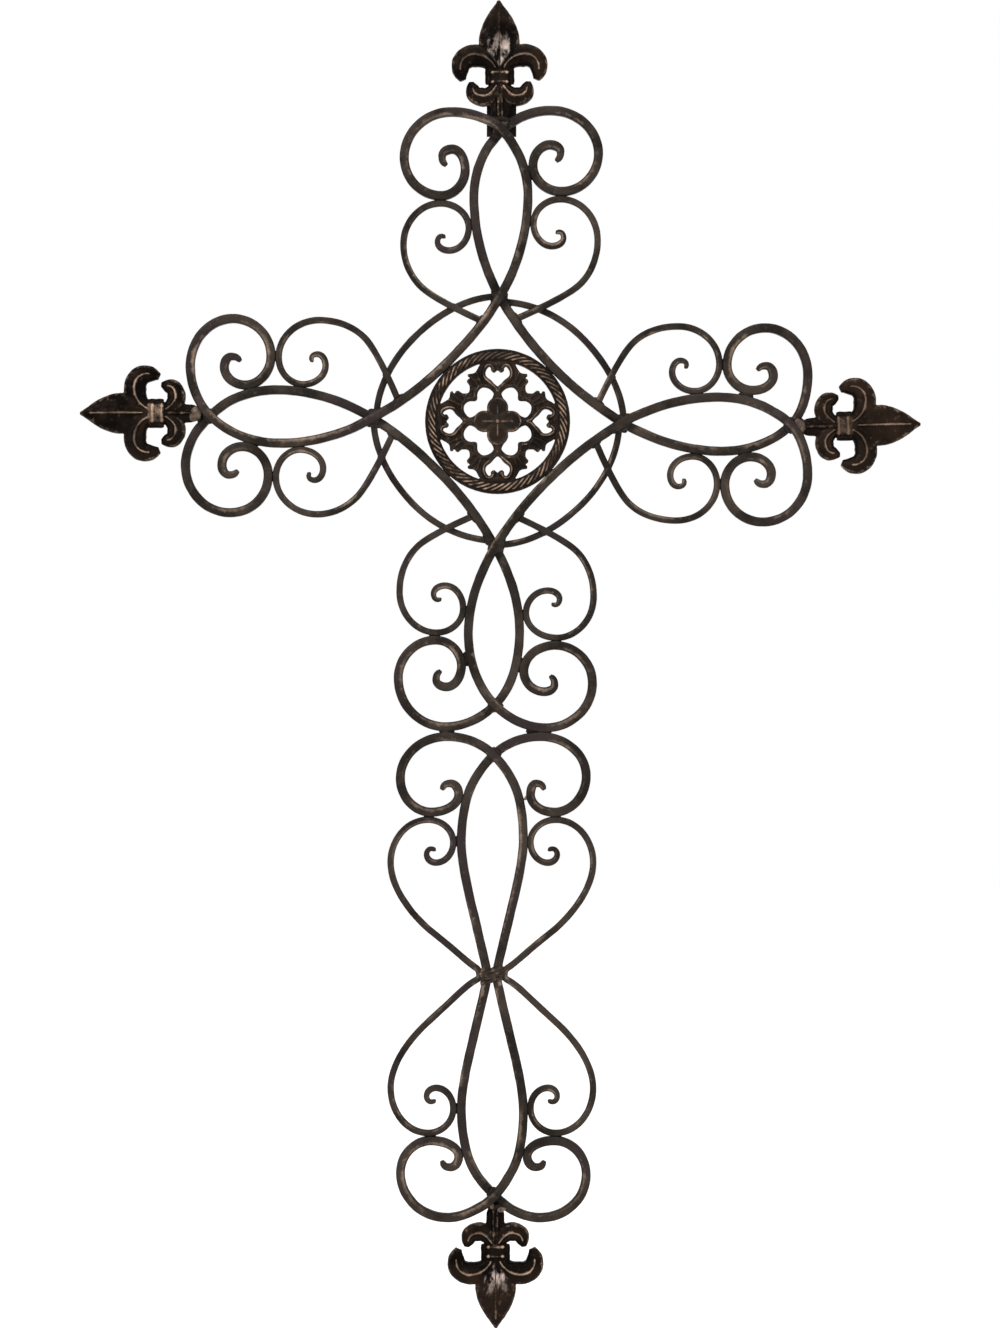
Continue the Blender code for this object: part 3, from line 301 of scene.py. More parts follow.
# Finial, along its axis from the end of its stem and sideways
FINIAL_LENGTH = 68.2 * MM
FINIAL_BACK = 2.4 * MM
FINIAL_RELIEF = 5.2 * MM
FINIAL_TILT_DEG = {"top": 1.2, "left": 1.0, "bottom": 0.3, "right": 2.4}
FINIAL_OFFSET = {"top": 0.8 * MM, "left": -1.1 * MM, "bottom": 0.8 * MM, "right": -0.8 * MM}
STEM_END_HALF_WIDTH = 2.6 * MM
BOTTOM_STEM_EXTRA = 1.5 * MM
SPEAR_HALF_WIDTH = 11.9 * MM
SPEAR_WIDEST_ALONG = 43.5 * MM
COLLAR_LENGTH = 9.6 * MM
COLLAR_ALONG = 24.9 * MM

# Rosette; its patterns are drawn in units of which its radius has this many
PATTERN_RADIUS = 72.5
ROPE_WIDTH = 7.4 * MM
ROPE_DEPTH = 6.0 * MM
ROSETTE_WEB = 3.0 * MM

# Hanger plate
PLATE_BELOW_CROSSING = 2.4 * MM
PLATE_HEIGHT = 26.4 * MM
PLATE_THICKNESS = 2.0 * MM
SLOT_TOP_MARGIN = 3.2 * MM

# Derived places
HEAVY_HALF = HEAVY_BAR / 2
LIGHT_HALF = LIGHT_BAR / 2
HEAVY_TO_HEAVY = HEAVY_BAR + WELD_GAP
HEAVY_TO_LIGHT = HEAVY_HALF + LIGHT_HALF + WELD_GAP
CROSSING_STEP = (HEAVY_BAR + WELD_GAP) / 2
RING_BACK = LIGHT_BAR + WELD_GAP
PATTERN_UNIT = ROSETTE_RADIUS / PATTERN_RADIUS
SAMPLES_PER_ARC = 60


def heading(degrees):
    """The direction of a bearing in the sheet."""
    return Vector((math.cos(math.radians(degrees)), math.sin(math.radians(degrees))))


def arc_between(start, end):
    """Points of the elliptical arc that leaves one knot and reaches the next along their headings."""
    (ax, ay, a_deg), (bx, by, b_deg) = start, end
    a, b, da, db = Vector((ax, ay)), Vector((bx, by)), heading(a_deg), heading(b_deg)
    turn = abs(math.remainder(math.radians(b_deg - a_deg), math.tau))
    cross = da.x * db.y - da.y * db.x
    chord = b - a
    leg_a = (chord.x * db.y - chord.y * db.x) / cross if cross else 0.0
    leg_b = (da.x * chord.y - da.y * chord.x) / cross if cross else 0.0
    if min(leg_a, leg_b) > 0.0 and turn > math.radians(2.0):
        pull = 4 / 3 * math.tan(turn / 4) / math.tan(turn / 2)
        c1, c2 = a + da * leg_a * pull, b - db * leg_b * pull
    else:
        c1, c2 = a + da * chord.length / 3, b - db * chord.length / 3
    points = []
    for i in range(SAMPLES_PER_ARC):
        t = i / SAMPLES_PER_ARC
        s = 1 - t
        points.append(a * s**3 + c1 * (3 * s * s * t) + c2 * (3 * s * t * t) + b * t**3)
    return points


def through(knots):
    """One smooth line through knots of (x, y, heading in degrees)."""
    points = []
    for start, end in zip(knots, knots[1:]):
        points += arc_between(start, end)
    return points + [Vector(knots[-1][:2])]


def backwards(knots):
    """The same line's knots from its other end."""
    return [(x, y, degrees + 180.0) for x, y, degrees in reversed(knots)]


def placed(knots, origin, bearing_deg, side):
    """Knots given along and sideways of an axis, as sheet places."""
    along, across = heading(bearing_deg), heading(bearing_deg + 90.0)
    moved = []
    for u, v, degrees in knots:
        place = Vector(origin) + along * u + across * (v * side)
        moved.append((place.x, place.y, bearing_deg + degrees * side))
    return moved


def side_width_at(line, along):
    """How far a line of (along, sideways) points stands out at one place along its axis."""
    for p, q in zip(line, line[1:]):
        if min(p.x, q.x) <= along <= max(p.x, q.x) and p.x != q.x:
            return abs(p.y + (q.y - p.y) * (along - p.x) / (q.x - p.x))
    return abs(line[-1].y)


def almond_knots(arm, side):
    """One side of an arm's almond, from the outer crossing to the inner one."""
    shift = ALMOND_SHIFT[arm] * side
    return [
        (OUTER_CROSSING[arm], 0.0, 180.0 + OUTER_CROSSING_DEG),
        (ALMOND_WIDEST[arm], shift - ALMOND_HALF_WIDTH[arm], 180.0),
        (INNER_CROSSING[arm], shift, 180.0 - INNER_CROSSING_DEG),
    ]


def heavy_scroll_knots(arm, side):
    """A heavy bar from its scrolled tip to the arm's inner crossing."""
    reach, meet, curl_gap, _ = ARM_SIDES[arm, side]
    inner_along = meet + HEAVY_LOOP_INNER_ALONG
    beside = through(almond_knots(arm, -side))
    inner_out = side_width_at(beside, inner_along) + HEAVY_TO_HEAVY + curl_gap
    return [
        (meet + HEAVY_TIP[0], HEAVY_TIP[1], 72.0),
        (meet + HEAVY_CURL_SIDE[0], HEAVY_CURL_SIDE[1], 0.0),
        (meet + HEAVY_CURL_TOP[0], HEAVY_CURL_TOP[1], -90.0),
        (inner_along, inner_out, -180.0),
        (meet + (HEAVY_BAR + WELD_GAP) / 2, LOOP_FOOT_OUT, -270.0),
        (meet + HEAVY_LOOP_SIDE[0], HEAVY_LOOP_SIDE[1], -360.0),
        (reach, HEAVY_LOOP_TOP_OUT, -450.0),
    ] + almond_knots(arm, side)


def light_scroll_knots(arm, side):
    """A light scroll from its foot on the diamond to its tip."""
    _, meet, _, foot_shift = ARM_SIDES[arm, side]
    inner_along = meet + LIGHT_LOOP_INNER_ALONG
    inner_out = side_width_at(through(almond_knots(arm, -side)), inner_along) + HEAVY_TO_LIGHT
    return [
        (LIGHT_FOOT[0] + foot_shift, LIGHT_FOOT[1], 66.0),
        (LIGHT_SHOULDER[0] + foot_shift, LIGHT_SHOULDER[1], 46.0),
        (meet + LIGHT_LOOP_SIDE[0], LIGHT_LOOP_SIDE[1], 0.0),
        (meet - (LIGHT_BAR + WELD_GAP) / 2, LOOP_FOOT_OUT, -90.0),
        (inner_along, inner_out, -180.0),
        (meet + LIGHT_CURL_FOOT[0], LIGHT_CURL_FOOT[1], -270.0),
        (meet + LIGHT_CURL_SIDE[0], LIGHT_CURL_SIDE[1], -360.0),
        (meet + LIGHT_TIP[0], LIGHT_TIP[1], -468.0),
    ]


def arm_point(arm, along, across=0.0):
    """A place in the sheet, given along and across one arm."""
    place = placed([(along, across, 0.0)], (0.0, 0.0), ARM_BEARING_DEG[arm], 1)[0]
    return Vector(place[:2])


def shaft_top():
    """The crossing that starts the shaft: its loops sit under the loops of the bottom arm."""
    loops_end = arm_point("bottom", max(ARM_SIDES["bottom", side][0] for side in (1, -1))).y
    crossing = arm_point("bottom", OUTER_CROSSING["bottom"])
    return Vector((crossing.x + SHAFT_OFFSET, loops_end - HEAVY_TO_HEAVY - SHAFT_LOOP_RISE["upper"]))


def shaft_almond_knots():
    """One side of the shaft from its crossing to its waist, along and sideways."""
    waist_out = HEAVY_HALF + WAIST_HALF_GAP
    return [
        (0.0, 0.0, -SHAFT_CROSSING_DEG),
        (SHAFT_SHOULDER[0], -SHAFT_SHOULDER[1], -SHAFT_SHOULDER_DEG),
        (SHAFT_ALMOND_ALONG, -SHAFT_ALMOND_HALF_WIDTH, 0.0),
        (SHAFT_NECK[0], -SHAFT_NECK[1], SHAFT_NECK_DEG),
        (SHAFT_HALF - BINDING_LENGTH / 2 - WELD_GAP, -waist_out, 0.0),
        (SHAFT_HALF, -waist_out, 0.0),
    ]


def shaft_bar_knots(half, side):
    """Half of a heavy shaft bar, from its scrolled tip to the waist."""
    almond = shaft_almond_knots()
    inner_out = side_width_at(through(almond), SHAFT_LOOP_INNER_ALONG) + HEAVY_TO_HEAVY
    inner_out += SHAFT_CURL_GAP[half, side]
    return [
        (*SHAFT_TIP, -164.0),
        (*SHAFT_CURL_TOP, -90.0),
        (SHAFT_LOOP_INNER_ALONG, inner_out, 0.0),
        (SHAFT_LOOP_FOOT_ALONG[half], SHAFT_LOOP_FOOT_OUT, 90.0),
        (*SHAFT_LOOP_SIDE, 180.0),
        (-SHAFT_LOOP_RISE[half], SHAFT_LOOP_TOP_OUT, 270.0),
    ] + almond


def heart_bar_knots(half):
    """Half of a heart bar, from the waist to its scrolled tip, along from the waist and sideways."""
    binding_out = HEAVY_BAR + WAIST_HALF_GAP + BINDING_GAP + BINDING_WALL
    waist_out = binding_out + WELD_GAP + LIGHT_HALF
    slope = math.radians(HEART_SLOPE_DEG)
    bend_along = HEART_STRAIGHT + HEART_BEND_RADIUS * math.sin(slope)
    bend_out = waist_out + HEART_BEND_RADIUS * (1 - math.cos(slope))
    rise = HEART_RISE if half == "upper" else -HEART_RISE
    almond_along = SHAFT_HALF - HEART_LOOP_INNER_ALONG
    inner_out = side_width_at(through(shaft_almond_knots()), almond_along) + HEAVY_TO_LIGHT
    loop_top = SHAFT_HALF - SHAFT_LOOP_FOOT_ALONG[half] - HEAVY_TO_LIGHT
    return [
        (rise, waist_out, 0.0),
        (rise + HEART_STRAIGHT, waist_out, 0.0),
        (rise + bend_along, bend_out, HEART_SLOPE_DEG),
        (*HEART_SHOULDER, HEART_SHOULDER_DEG),
        (*HEART_SIDE, 0.0),
        (loop_top, HEART_LOOP_TOP_OUT, -90.0),
        (HEART_LOOP_INNER_ALONG, inner_out, -180.0),
        (*HEART_CURL_FOOT, -270.0),
        (*HEART_CURL_SIDE, -360.0),
        (*HEART_TIP, -460.0),
    ]


def lifted(points, crossings, layer):
    """Sheet points with the depth that carries one bar over or under the others at its crossings."""
    plateau = HEAVY_BAR
    line = []
    for p in points:
        distance = min((p - c).length for c in crossings) if crossings else math.inf
        share = min(1.0, max(0.0, (distance - plateau) / CROSSING_RAMP))
        line.append(Vector((p.x, p.y, layer * CROSSING_STEP * (1 + math.cos(math.pi * share)) / 2)))
    return line


def trimmed(line, others, clearance):
    """A line whose first half is cut back to where it last comes within a clearance of other lines."""

    def distance(p):
        best = math.inf
        for other in others:
            for a, b in zip(other, other[1:]):
                run = b - a
                share = min(1.0, max(0.0, (p - a).dot(run) / max(run.length_squared, 1e-18)))
                best = min(best, (p - a - run * share).length)
        return best

    close = [i for i, p in enumerate(line[: len(line) // 2]) if distance(p) < clearance]
    if not close:
        return line
    near, far = line[close[-1]], line[close[-1] + 1]
    share = (clearance - distance(near)) / (distance(far) - distance(near))
    return [near.lerp(far, share), *line[close[-1] + 1 :]]


def crossing_places():
    """Every place where two bars cross over each other."""
    places = [arm_point(arm, OUTER_CROSSING[arm]) for arm in ARM_ORDER]
    places += [arm_point(arm, INNER_CROSSING[arm], ALMOND_SHIFT[arm]) for arm in ARM_ORDER]
    top = shaft_top()
    return places + [top, top - Vector((0.0, 2 * SHAFT_HALF))]


def arm_half(arm, side):
    """A heavy bar's knots in the sheet, from its tip to the arm's inner crossing."""
    return placed(heavy_scroll_knots(arm, side), (0.0, 0.0), ARM_BEARING_DEG[arm], side)


def bearings_between(first, second):
    """The bearings of one arm, half way to the next, and of the next."""
    start = ARM_BEARING_DEG[first]
    turn = (ARM_BEARING_DEG[second] - start) % 360.0
    return start, start + turn / 2, start + turn


def diamond_knot(first, second):
    """Where a diamond side rests on the rosette, half way between two arms."""
    bearing = bearings_between(first, second)[1]
    place = Vector(ROSETTE_OFFSET) + heading(bearing) * (ROSETTE_RADIUS + HEAVY_HALF + WELD_GAP)
    return (place.x, place.y, bearing + 90.0)


def eased_to_waist(point, waist):
    """A shaft point moved with the waist, which stands a little to one side of the shaft's crossings."""
    share = min(1.0, abs(point.y - waist.y) / SHAFT_HALF)
    return Vector((point.x + WAIST_OFFSET * (1.0 - share**3), point.y))


def plate_places():
    """The hanger plate's bottom and top, and the cross's origin between its slot and its top edge."""
    crossing = arm_point("top", OUTER_CROSSING["top"])
    bottom = crossing.y - PLATE_BELOW_CROSSING
    top = bottom + PLATE_HEIGHT
    origin = top - SLOT_TOP_MARGIN / 2
    return Vector((crossing.x, bottom)), Vector((crossing.x, top)), Vector((crossing.x, origin))


def plate_depth():
    """The plate's middle, behind the rear bar of the crossing."""
    return -(CROSSING_STEP + HEAVY_HALF + WELD_GAP + PLATE_THICKNESS / 2)


def mm(*values):
    """Millimetres as metres."""
    return [value * MM for value in values]


def circle(count, radius):
    """Even places round a circle."""
    return [heading(360.0 * i / count) * radius for i in range(count)]


def runs_along(line):
    """How far along its line each point is."""
    return np.concatenate([[0.0], np.cumsum(np.linalg.norm(np.diff(line, axis=0), axis=1))])


def spaced(line, step):
    """A line's points at even steps along it, as rows of numbers."""
    places = np.array([tuple(p) for p in line])
    runs = runs_along(places)
    count = max(2, int(round(runs[-1] / step)))
    wanted = np.linspace(0.0, runs[-1], count + 1)
    return np.stack([np.interp(wanted, runs, places[:, k]) for k in range(places.shape[1])], axis=1)


def rounded_square(corner):
    """Places (side, front) round a square of half width 1."""
    places = []
    flat = 1.0 - corner
    bevel = flat + corner * 0.707
    for quarter in range(4):
        turn = math.radians(90.0 * quarter)
        c, s = math.cos(turn), math.sin(turn)
        raw = ((1.0, -0.4), (1.0, 0.4), (1.0, flat), (bevel, bevel), (flat, 1.0))
        places += [(c * x - s * y, s * x + c * y) for x, y in raw]
    return np.array(places)


def dome_section(count):
    """A dome of half width 1 and height 1. Its foot is there twice on each side, so one can be moved back."""
    places = [(1.0, 0.0), (1.0, 0.0)]
    for i in range(1, count):
        turn = math.pi * i / count
        side = math.cos(turn)
        places.append((math.copysign(abs(side) ** DOME_POWER, side), math.sin(turn) ** DOME_POWER))
    return np.array(places + [(-1.0, 0.0), (-1.0, 0.0)])


def round_section(count):
    """Places (side, front) round a circle of radius 1."""
    turns = np.arange(count) * math.tau / count
    return np.stack([np.cos(turns), np.sin(turns)], axis=1)


def swept(line, section, side_scale, front_scale, closed=False):
    """A section drawn along a line: vertices and faces, with the section's front towards the viewer."""
    line = np.asarray(line, float)
    if closed:
        tangent = np.roll(line, -1, axis=0) - np.roll(line, 1, axis=0)
    else:
        tangent = np.gradient(line, axis=0)
    tangent /= np.linalg.norm(tangent, axis=1)[:, None]
    side = np.stack([tangent[:, 1], -tangent[:, 0], np.zeros(len(line))], axis=1)
    side /= np.maximum(np.linalg.norm(side, axis=1), 1e-9)[:, None]
    front = np.cross(side, tangent)
    side_scale = np.broadcast_to(side_scale, len(line))
    front_scale = np.broadcast_to(front_scale, len(line))
    rings = line[:, None, :] + side[:, None, :] * (section[None, :, 0] * side_scale[:, None])[..., None]
    rings = rings + front[:, None, :] * (section[None, :, 1] * front_scale[:, None])[..., None]
    count = len(section)
    faces = []
    for i in range(len(line) if closed else len(line) - 1):
        near, far = i * count, (i + 1) % len(line) * count
        for k in range(count):
            nxt = (k + 1) % count
            faces.append((near + k, near + nxt, far + nxt, far + k))
    if not closed:
        faces.append(tuple(range(count - 1, -1, -1)))
        faces.append(tuple((len(line) - 1) * count + k for k in range(count)))
    return rings.reshape(-1, 3), faces


def outward(verts, faces):
    """The faces, turned over if the body they close would be inside out."""
    volume = 0.0
    for face in faces:
        a = verts[face[0]]
        for k in range(1, len(face) - 1):
            volume += np.dot(a, np.cross(verts[face[k]], verts[face[k + 1]]))
    return faces if volume > 0.0 else [tuple(reversed(face)) for face in faces]


def merged(shells):
    """Several shells as one list of vertices and one of faces."""
    verts, faces, base = [], [], 0
    for shell_verts, shell_faces in shells:
        faces += [tuple(base + i for i in face) for face in outward(shell_verts, shell_faces)]
        verts.append(shell_verts)
        base += len(shell_verts)
    return np.concatenate(verts), faces


def tip_shrink(line, half, at_start, at_end):
    """How wide a bar is along its line: drawn thinner to a scrolled tip, which is rounded off."""
    runs = runs_along(line)
    share = np.ones(len(line))
    for free, is_tip in ((runs, at_start), (runs[-1] - runs, at_end)):
        if is_tip:
            taper = TIP_TAPER + (1.0 - TIP_TAPER) * graded(free, 0.0, TIP_TAPER_LENGTH)
            ball = np.sqrt(np.clip(1.0 - (1.0 - graded(free, 0.0, half * TIP_BALL)) ** 2, 0.04, 1.0))
            share = np.minimum(share, taper) * ball
    return share


def to_world(verts, centre):
    """Sheet places stood upright, front to -Y."""
    verts = np.asarray(verts, float)
    return np.stack([verts[:, 0] + centre[0], centre[1] - verts[:, 2], verts[:, 1] + centre[2]], axis=1)


def jitter(verts, size, amount, seed):
    """A smooth random length for every vertex."""
    return np.array([noise.noise(Vector(v) / size + Vector((seed, 0.0, 0.0))) for v in verts]) * amount


def linked(name, data):
    """A new object of some data, put in the scene."""
    item = bpy.data.objects.new(name, data)
    bpy.context.scene.collection.objects.link(item)
    return item


def piece(name, verts, faces, wear_and_highlight, shade_and_grime, material, nodes, glint=None):
    """A smooth shaded mesh that rides on the cross, with its wear and painted highlights, painted shade and
    grime, and painted glint kept as values on its points.
    """
    mesh = bpy.data.meshes.new(name)
    mesh.from_pydata([tuple(v) for v in verts], [], faces)
    mesh.update()
    for label, values in (("wear_and_highlight", wear_and_highlight), ("shade_and_grime", shade_and_grime), ("glint", glint)):
        if values is not None:
            layer = mesh.attributes.new(label, "FLOAT", "POINT")
            layer.data.foreach_set("value", np.asarray(values, np.float32))
    mesh.polygons.foreach_set("use_smooth", [True] * len(mesh.polygons))
    mesh.materials.append(material)
    item = linked(name, mesh)
    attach(item, "root")
    if nodes:
        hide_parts(*nodes)


def drawn_in(place, waist):
    """A place on a heart bar, drawn in towards the knot at the waist."""
    rise = place[1] - waist.y
    near = math.exp(-((rise / KNOT_REACH) ** 2))
    out = place[0] - waist.x
    x = waist.x + out - math.copysign(KNOT_PULL * near, out)
    return Vector((x, waist.y + rise * (1.0 - KNOT_SQUEEZE * near), place[2]))


def bar_table():
    """Every bar's node, its line in the sheet with its depth, its half thickness and which ends are tips."""
    table = []
    heavy_lines = {}
    crossings = crossing_places()
    for index, first in enumerate(ARM_ORDER):
        second = ARM_ORDER[(index + 1) % len(ARM_ORDER)]
        knots = arm_half(first, 1) + [diamond_knot(first, second)] + backwards(arm_half(second, -1))
        points = through(knots)
        heavy_lines[first, 1] = heavy_lines[second, -1] = points
        line = lifted(points, crossings, 1 if index % 2 == 0 else -1)
        table.append((f"heavy_bar_{first}_{second}", line, HEAVY_HALF, True, True))
    for (arm, side), side_name in SIDE_NAMES.items():
        knots = placed(light_scroll_knots(arm, side), (0.0, 0.0), ARM_BEARING_DEG[arm], side)
        points = trimmed(through(knots), [heavy_lines[arm, side]], HEAVY_HALF)
        table.append((f"light_scroll_{arm}_{side_name}", lifted(points, [], 0), LIGHT_HALF, False, True))
    for index, (name, radii) in enumerate(RING_RADII.items()):
        first, second = ARM_ORDER[index], ARM_ORDER[(index + 1) % len(ARM_ORDER)]
        places = zip(radii, bearings_between(first, second))
        line = through([(*(heading(b) * radius), b + 90.0) for radius, b in places])
        # Each end is cut back in turn, with the line turned round between
        for arm in (first, second):
            line = trimmed(line, [heavy_lines[arm, 1], heavy_lines[arm, -1]], HEAVY_HALF + WELD_GAP)[::-1]
        table.append((f"ring_arc_{name}", at_depth(line[::-1], -RING_BACK), LIGHT_HALF, False, False))
    top = shaft_top()
    waist = top - Vector((0.0, SHAFT_HALF))
    bottom = waist - Vector((0.0, SHAFT_HALF))
    for side, name in ((1, "right"), (-1, "left")):
        upper = placed(shaft_bar_knots("upper", side), top, 270.0, side)
        lower = placed(shaft_bar_knots("lower", side), bottom, 90.0, -side)
        points = [eased_to_waist(p, waist) for p in through(upper + backwards(lower)[1:])]
        table.append((f"shaft_bar_{name}", lifted(points, crossings, -side), HEAVY_HALF, True, True))
        centre = waist + Vector((WAIST_OFFSET, 0.0))
        up = placed(heart_bar_knots("upper"), centre, 90.0, -side)
        down = placed(heart_bar_knots("lower"), centre, 270.0, side)
        line = [drawn_in(p, centre) for p in lifted(through(backwards(up) + down[1:]), [], 0)]
        table.append((f"heart_bar_{name}", line, LIGHT_HALF, True, True))
    return table


def hooked(places, at_start, at_end):
    """The bar's line with the last bit of each scrolled tip turned further in."""
    for is_tip, line in ((at_start, places[::-1]), (at_end, places)):
        if is_tip:
            steps = np.diff(line[-HOOK_STEPS - 2 :], axis=0)
            turning = np.cross(steps[0, :2], steps[-1, :2])
            corner = line[-HOOK_STEPS - 1].copy()
            for i, (x, y, z) in enumerate(steps[1:], 1):
                turn = math.copysign(math.radians(HOOK_DEG) * i / HOOK_STEPS, turning)
                c, s = math.cos(turn), math.sin(turn)
                corner = corner + [x * c - y * s, x * s + y * c, z]
                line[i - HOOK_STEPS - 1] = corner
    return places


def bar_shades(places, section):
    """A painted highlight in a band on the side of the front that catches the light, and painted shade on the
    bar's flanks.
    """
    ahead = np.gradient(places[:, :2], axis=0)
    headings = np.unwrap(np.arctan2(ahead[:, 1], ahead[:, 0]))
    bending = np.tanh(np.gradient(headings) / BAR_STEP * HIGHLIGHT_RADIUS)[:, None]
    ahead /= np.linalg.norm(ahead, axis=1)[:, None]
    # Light comes from the upper left: the band is a painted highlight on the lit side of straight runs and on
    # the inner side of bends
    lit = (-ahead[:, 1] - ahead[:, 0])[:, None] * 0.7
    across = section[None, :, 0] * ((1.0 - np.abs(bending)) * lit - bending)
    patchy = np.clip(0.5 + jitter(places, 24.0 * MM, 0.9, 31.0), 0.12, 0.9)[:, None]
    band = np.exp(-(((across - HIGHLIGHT_MIDDLE) / HIGHLIGHT_SPREAD) ** 2)) * (section[None, :, 1] > 0.5) * patchy
    # Painted shade on the bar's flanks, so that the bars look round
    flank = np.broadcast_to(graded(np.abs(section[None, :, 0]), 0.8, 1.0) * 0.75, band.shape)
    return band.ravel(), flank.ravel()


def add_bars(table, centre, material):
    """The forged bars, with rounded edges, hammered dents and hooked tips."""
    section = rounded_square(CORNER_SHARE)
    for number, (node, line, half, at_start, at_end) in enumerate(table):
        places = hooked(spaced(line, BAR_STEP), at_start, at_end)
        share = tip_shrink(places, half, at_start, at_end) * half
        swell = BAR_SWELL if half == HEAVY_HALF else LIGHT_SWELL
        verts, faces = swept(places, section, share + swell, share)
        middle = np.repeat(places, len(section), axis=0)
        dents = 1.0
        for size, depth, seed in BAR_DENTS:
            dents = dents + jitter(verts, size, depth, number + seed)
        verts = middle + (verts - middle) * dents[:, None]
        painted_highlight, shade_and_grime = bar_shades(places, section)
        piece(f"{node}_forged", to_world(verts, centre), outward(verts, faces), painted_highlight, shade_and_grime, material,
              [node])


def blob(place, direction, sizes, seed):
    """A lumpy weld bead: its place, its long direction in the sheet and its three half sizes."""
    unit = [(0.0, 0.0, -1.0)]
    for r in range(1, BEAD_ROWS):
        polar = math.pi * r / BEAD_ROWS
        out = math.sin(polar)
        for k in range(BEAD_TURNS):
            turn = math.tau * k / BEAD_TURNS
            unit.append((out * math.cos(turn), out * math.sin(turn), -math.cos(polar)))
    unit = np.array(unit + [(0.0, 0.0, 1.0)])
    faces = []
    last = 1 + (BEAD_ROWS - 2) * BEAD_TURNS
    for k in range(BEAD_TURNS):
        nxt = (k + 1) % BEAD_TURNS
        faces.append((0, 1 + nxt, 1 + k))
        for a in range(1, last, BEAD_TURNS):
            b = a + BEAD_TURNS
            faces.append((a + k, a + nxt, b + nxt, b + k))
        faces.append((last + k, last + nxt, len(unit) - 1))
    unit = unit * (1.0 + jitter(unit, 0.8, 0.28, seed))[:, None]
    along = np.array([direction[0], direction[1], 0.0])
    across = np.array([-direction[1], direction[0], 0.0])
    verts = unit[:, :1] * along * sizes[0] + unit[:, 1:2] * across * sizes[1]
    verts = verts + unit[:, 2:] * np.array([0.0, 0.0, sizes[2]]) + np.asarray(place)
    return verts, faces


def unit_step(line, index):
    """The direction of a line in the sheet at one of its points."""
    step = line[min(index + 1, len(line) - 1)] - line[max(index - 1, 0)]
    return step[:2] / np.linalg.norm(step[:2])


def contacts(table):
    """Where bars touch or cross: place, both directions, gap, thickness, names, and whether at an end."""
    lines = [(node, spaced(line, CONTACT_STEP), half) for node, line, half, _, _ in table]
    rim = [Vector(ROSETTE_OFFSET) + heading(d) * (ROSETTE_RADIUS - 1.5 * MM) for d in range(361)]
    lines.append(("rosette", spaced(at_depth(rim, 0.0), CONTACT_STEP), 1.5 * MM))
    found = []
    for i, (name_a, a, half_a) in enumerate(lines):
        for name_b, b, half_b in lines[i + 1:]:
            gap = np.linalg.norm(a[:, None, :2] - b[None, :, :2], axis=2)
            thick = half_a + half_b
            while gap.min() < thick + WELD_REACH:
                p, q = np.unravel_index(gap.argmin(), gap.shape)
                place = (a[p] * half_b + b[q] * half_a) / thick
                at_end = p in (0, len(a) - 1) or q in (0, len(b) - 1)
                names = (name_a, name_b)
                found.append((place, unit_step(a, p), unit_step(b, q), gap[p, q], thick, names, at_end))
                near = np.linalg.norm(a[:, :2] - place[:2], axis=1) < CONTACT_SPACING
                close = np.linalg.norm(b[:, :2] - place[:2], axis=1) < CONTACT_SPACING
                gap[np.ix_(near, close)] = 1.0
    return found


def finial_seat(arm):
    """Where a finial's stem ends, and how far the finial is turned from upright."""
    spread = math.radians(OUTER_CROSSING_DEG)
    seat = (HEAVY_HALF + STEM_END_HALF_WIDTH * math.cos(spread)) / math.sin(spread) + WELD_GAP
    bearing = 270.0 if arm == "bottom" else ARM_BEARING_DEG[arm]
    crossing = arm_point(arm, OUTER_CROSSING[arm])
    if arm == "bottom":
        crossing = shaft_top() - Vector((0.0, 2 * SHAFT_HALF))
    place = crossing + heading(bearing) * seat + heading(bearing + 90.0) * FINIAL_OFFSET[arm]
    return place, math.radians(bearing + FINIAL_TILT_DEG[arm] - 90.0)


def contact_weld(number, place, direction, second, gap, thick, at_end):
    """One contact's bead: at a bar's foot, a flat fillet where bars cross, or a short one between them."""
    if at_end:
        return blob(place, direction, FOOT_WELD, number)
    if gap < thick * 0.5:
        has_heavy = thick > 2 * LIGHT_HALF
        size = thick * (0.93 if has_heavy else 0.74)
        bisector = direction + second
        bisector = bisector / np.linalg.norm(bisector)
        deep = (2.2 if has_heavy else 1.3) * MM
        return blob((place[0], place[1], 0.0), bisector, (size, size * 0.92, deep), number)
    both_heavy = thick > HEAVY_HALF + LIGHT_HALF + 0.1 * MM
    longer, deep, behind = mm(1.2, 2.2, 0.1) if both_heavy else mm(0.0, 1.6, 0.5)
    sizes = (WELD_LENGTH / 2 + longer, max(gap - thick, 0.0) / 2 + 1.5 * MM, deep)
    return blob((place[0], place[1], place[2] - behind), direction, sizes, number)


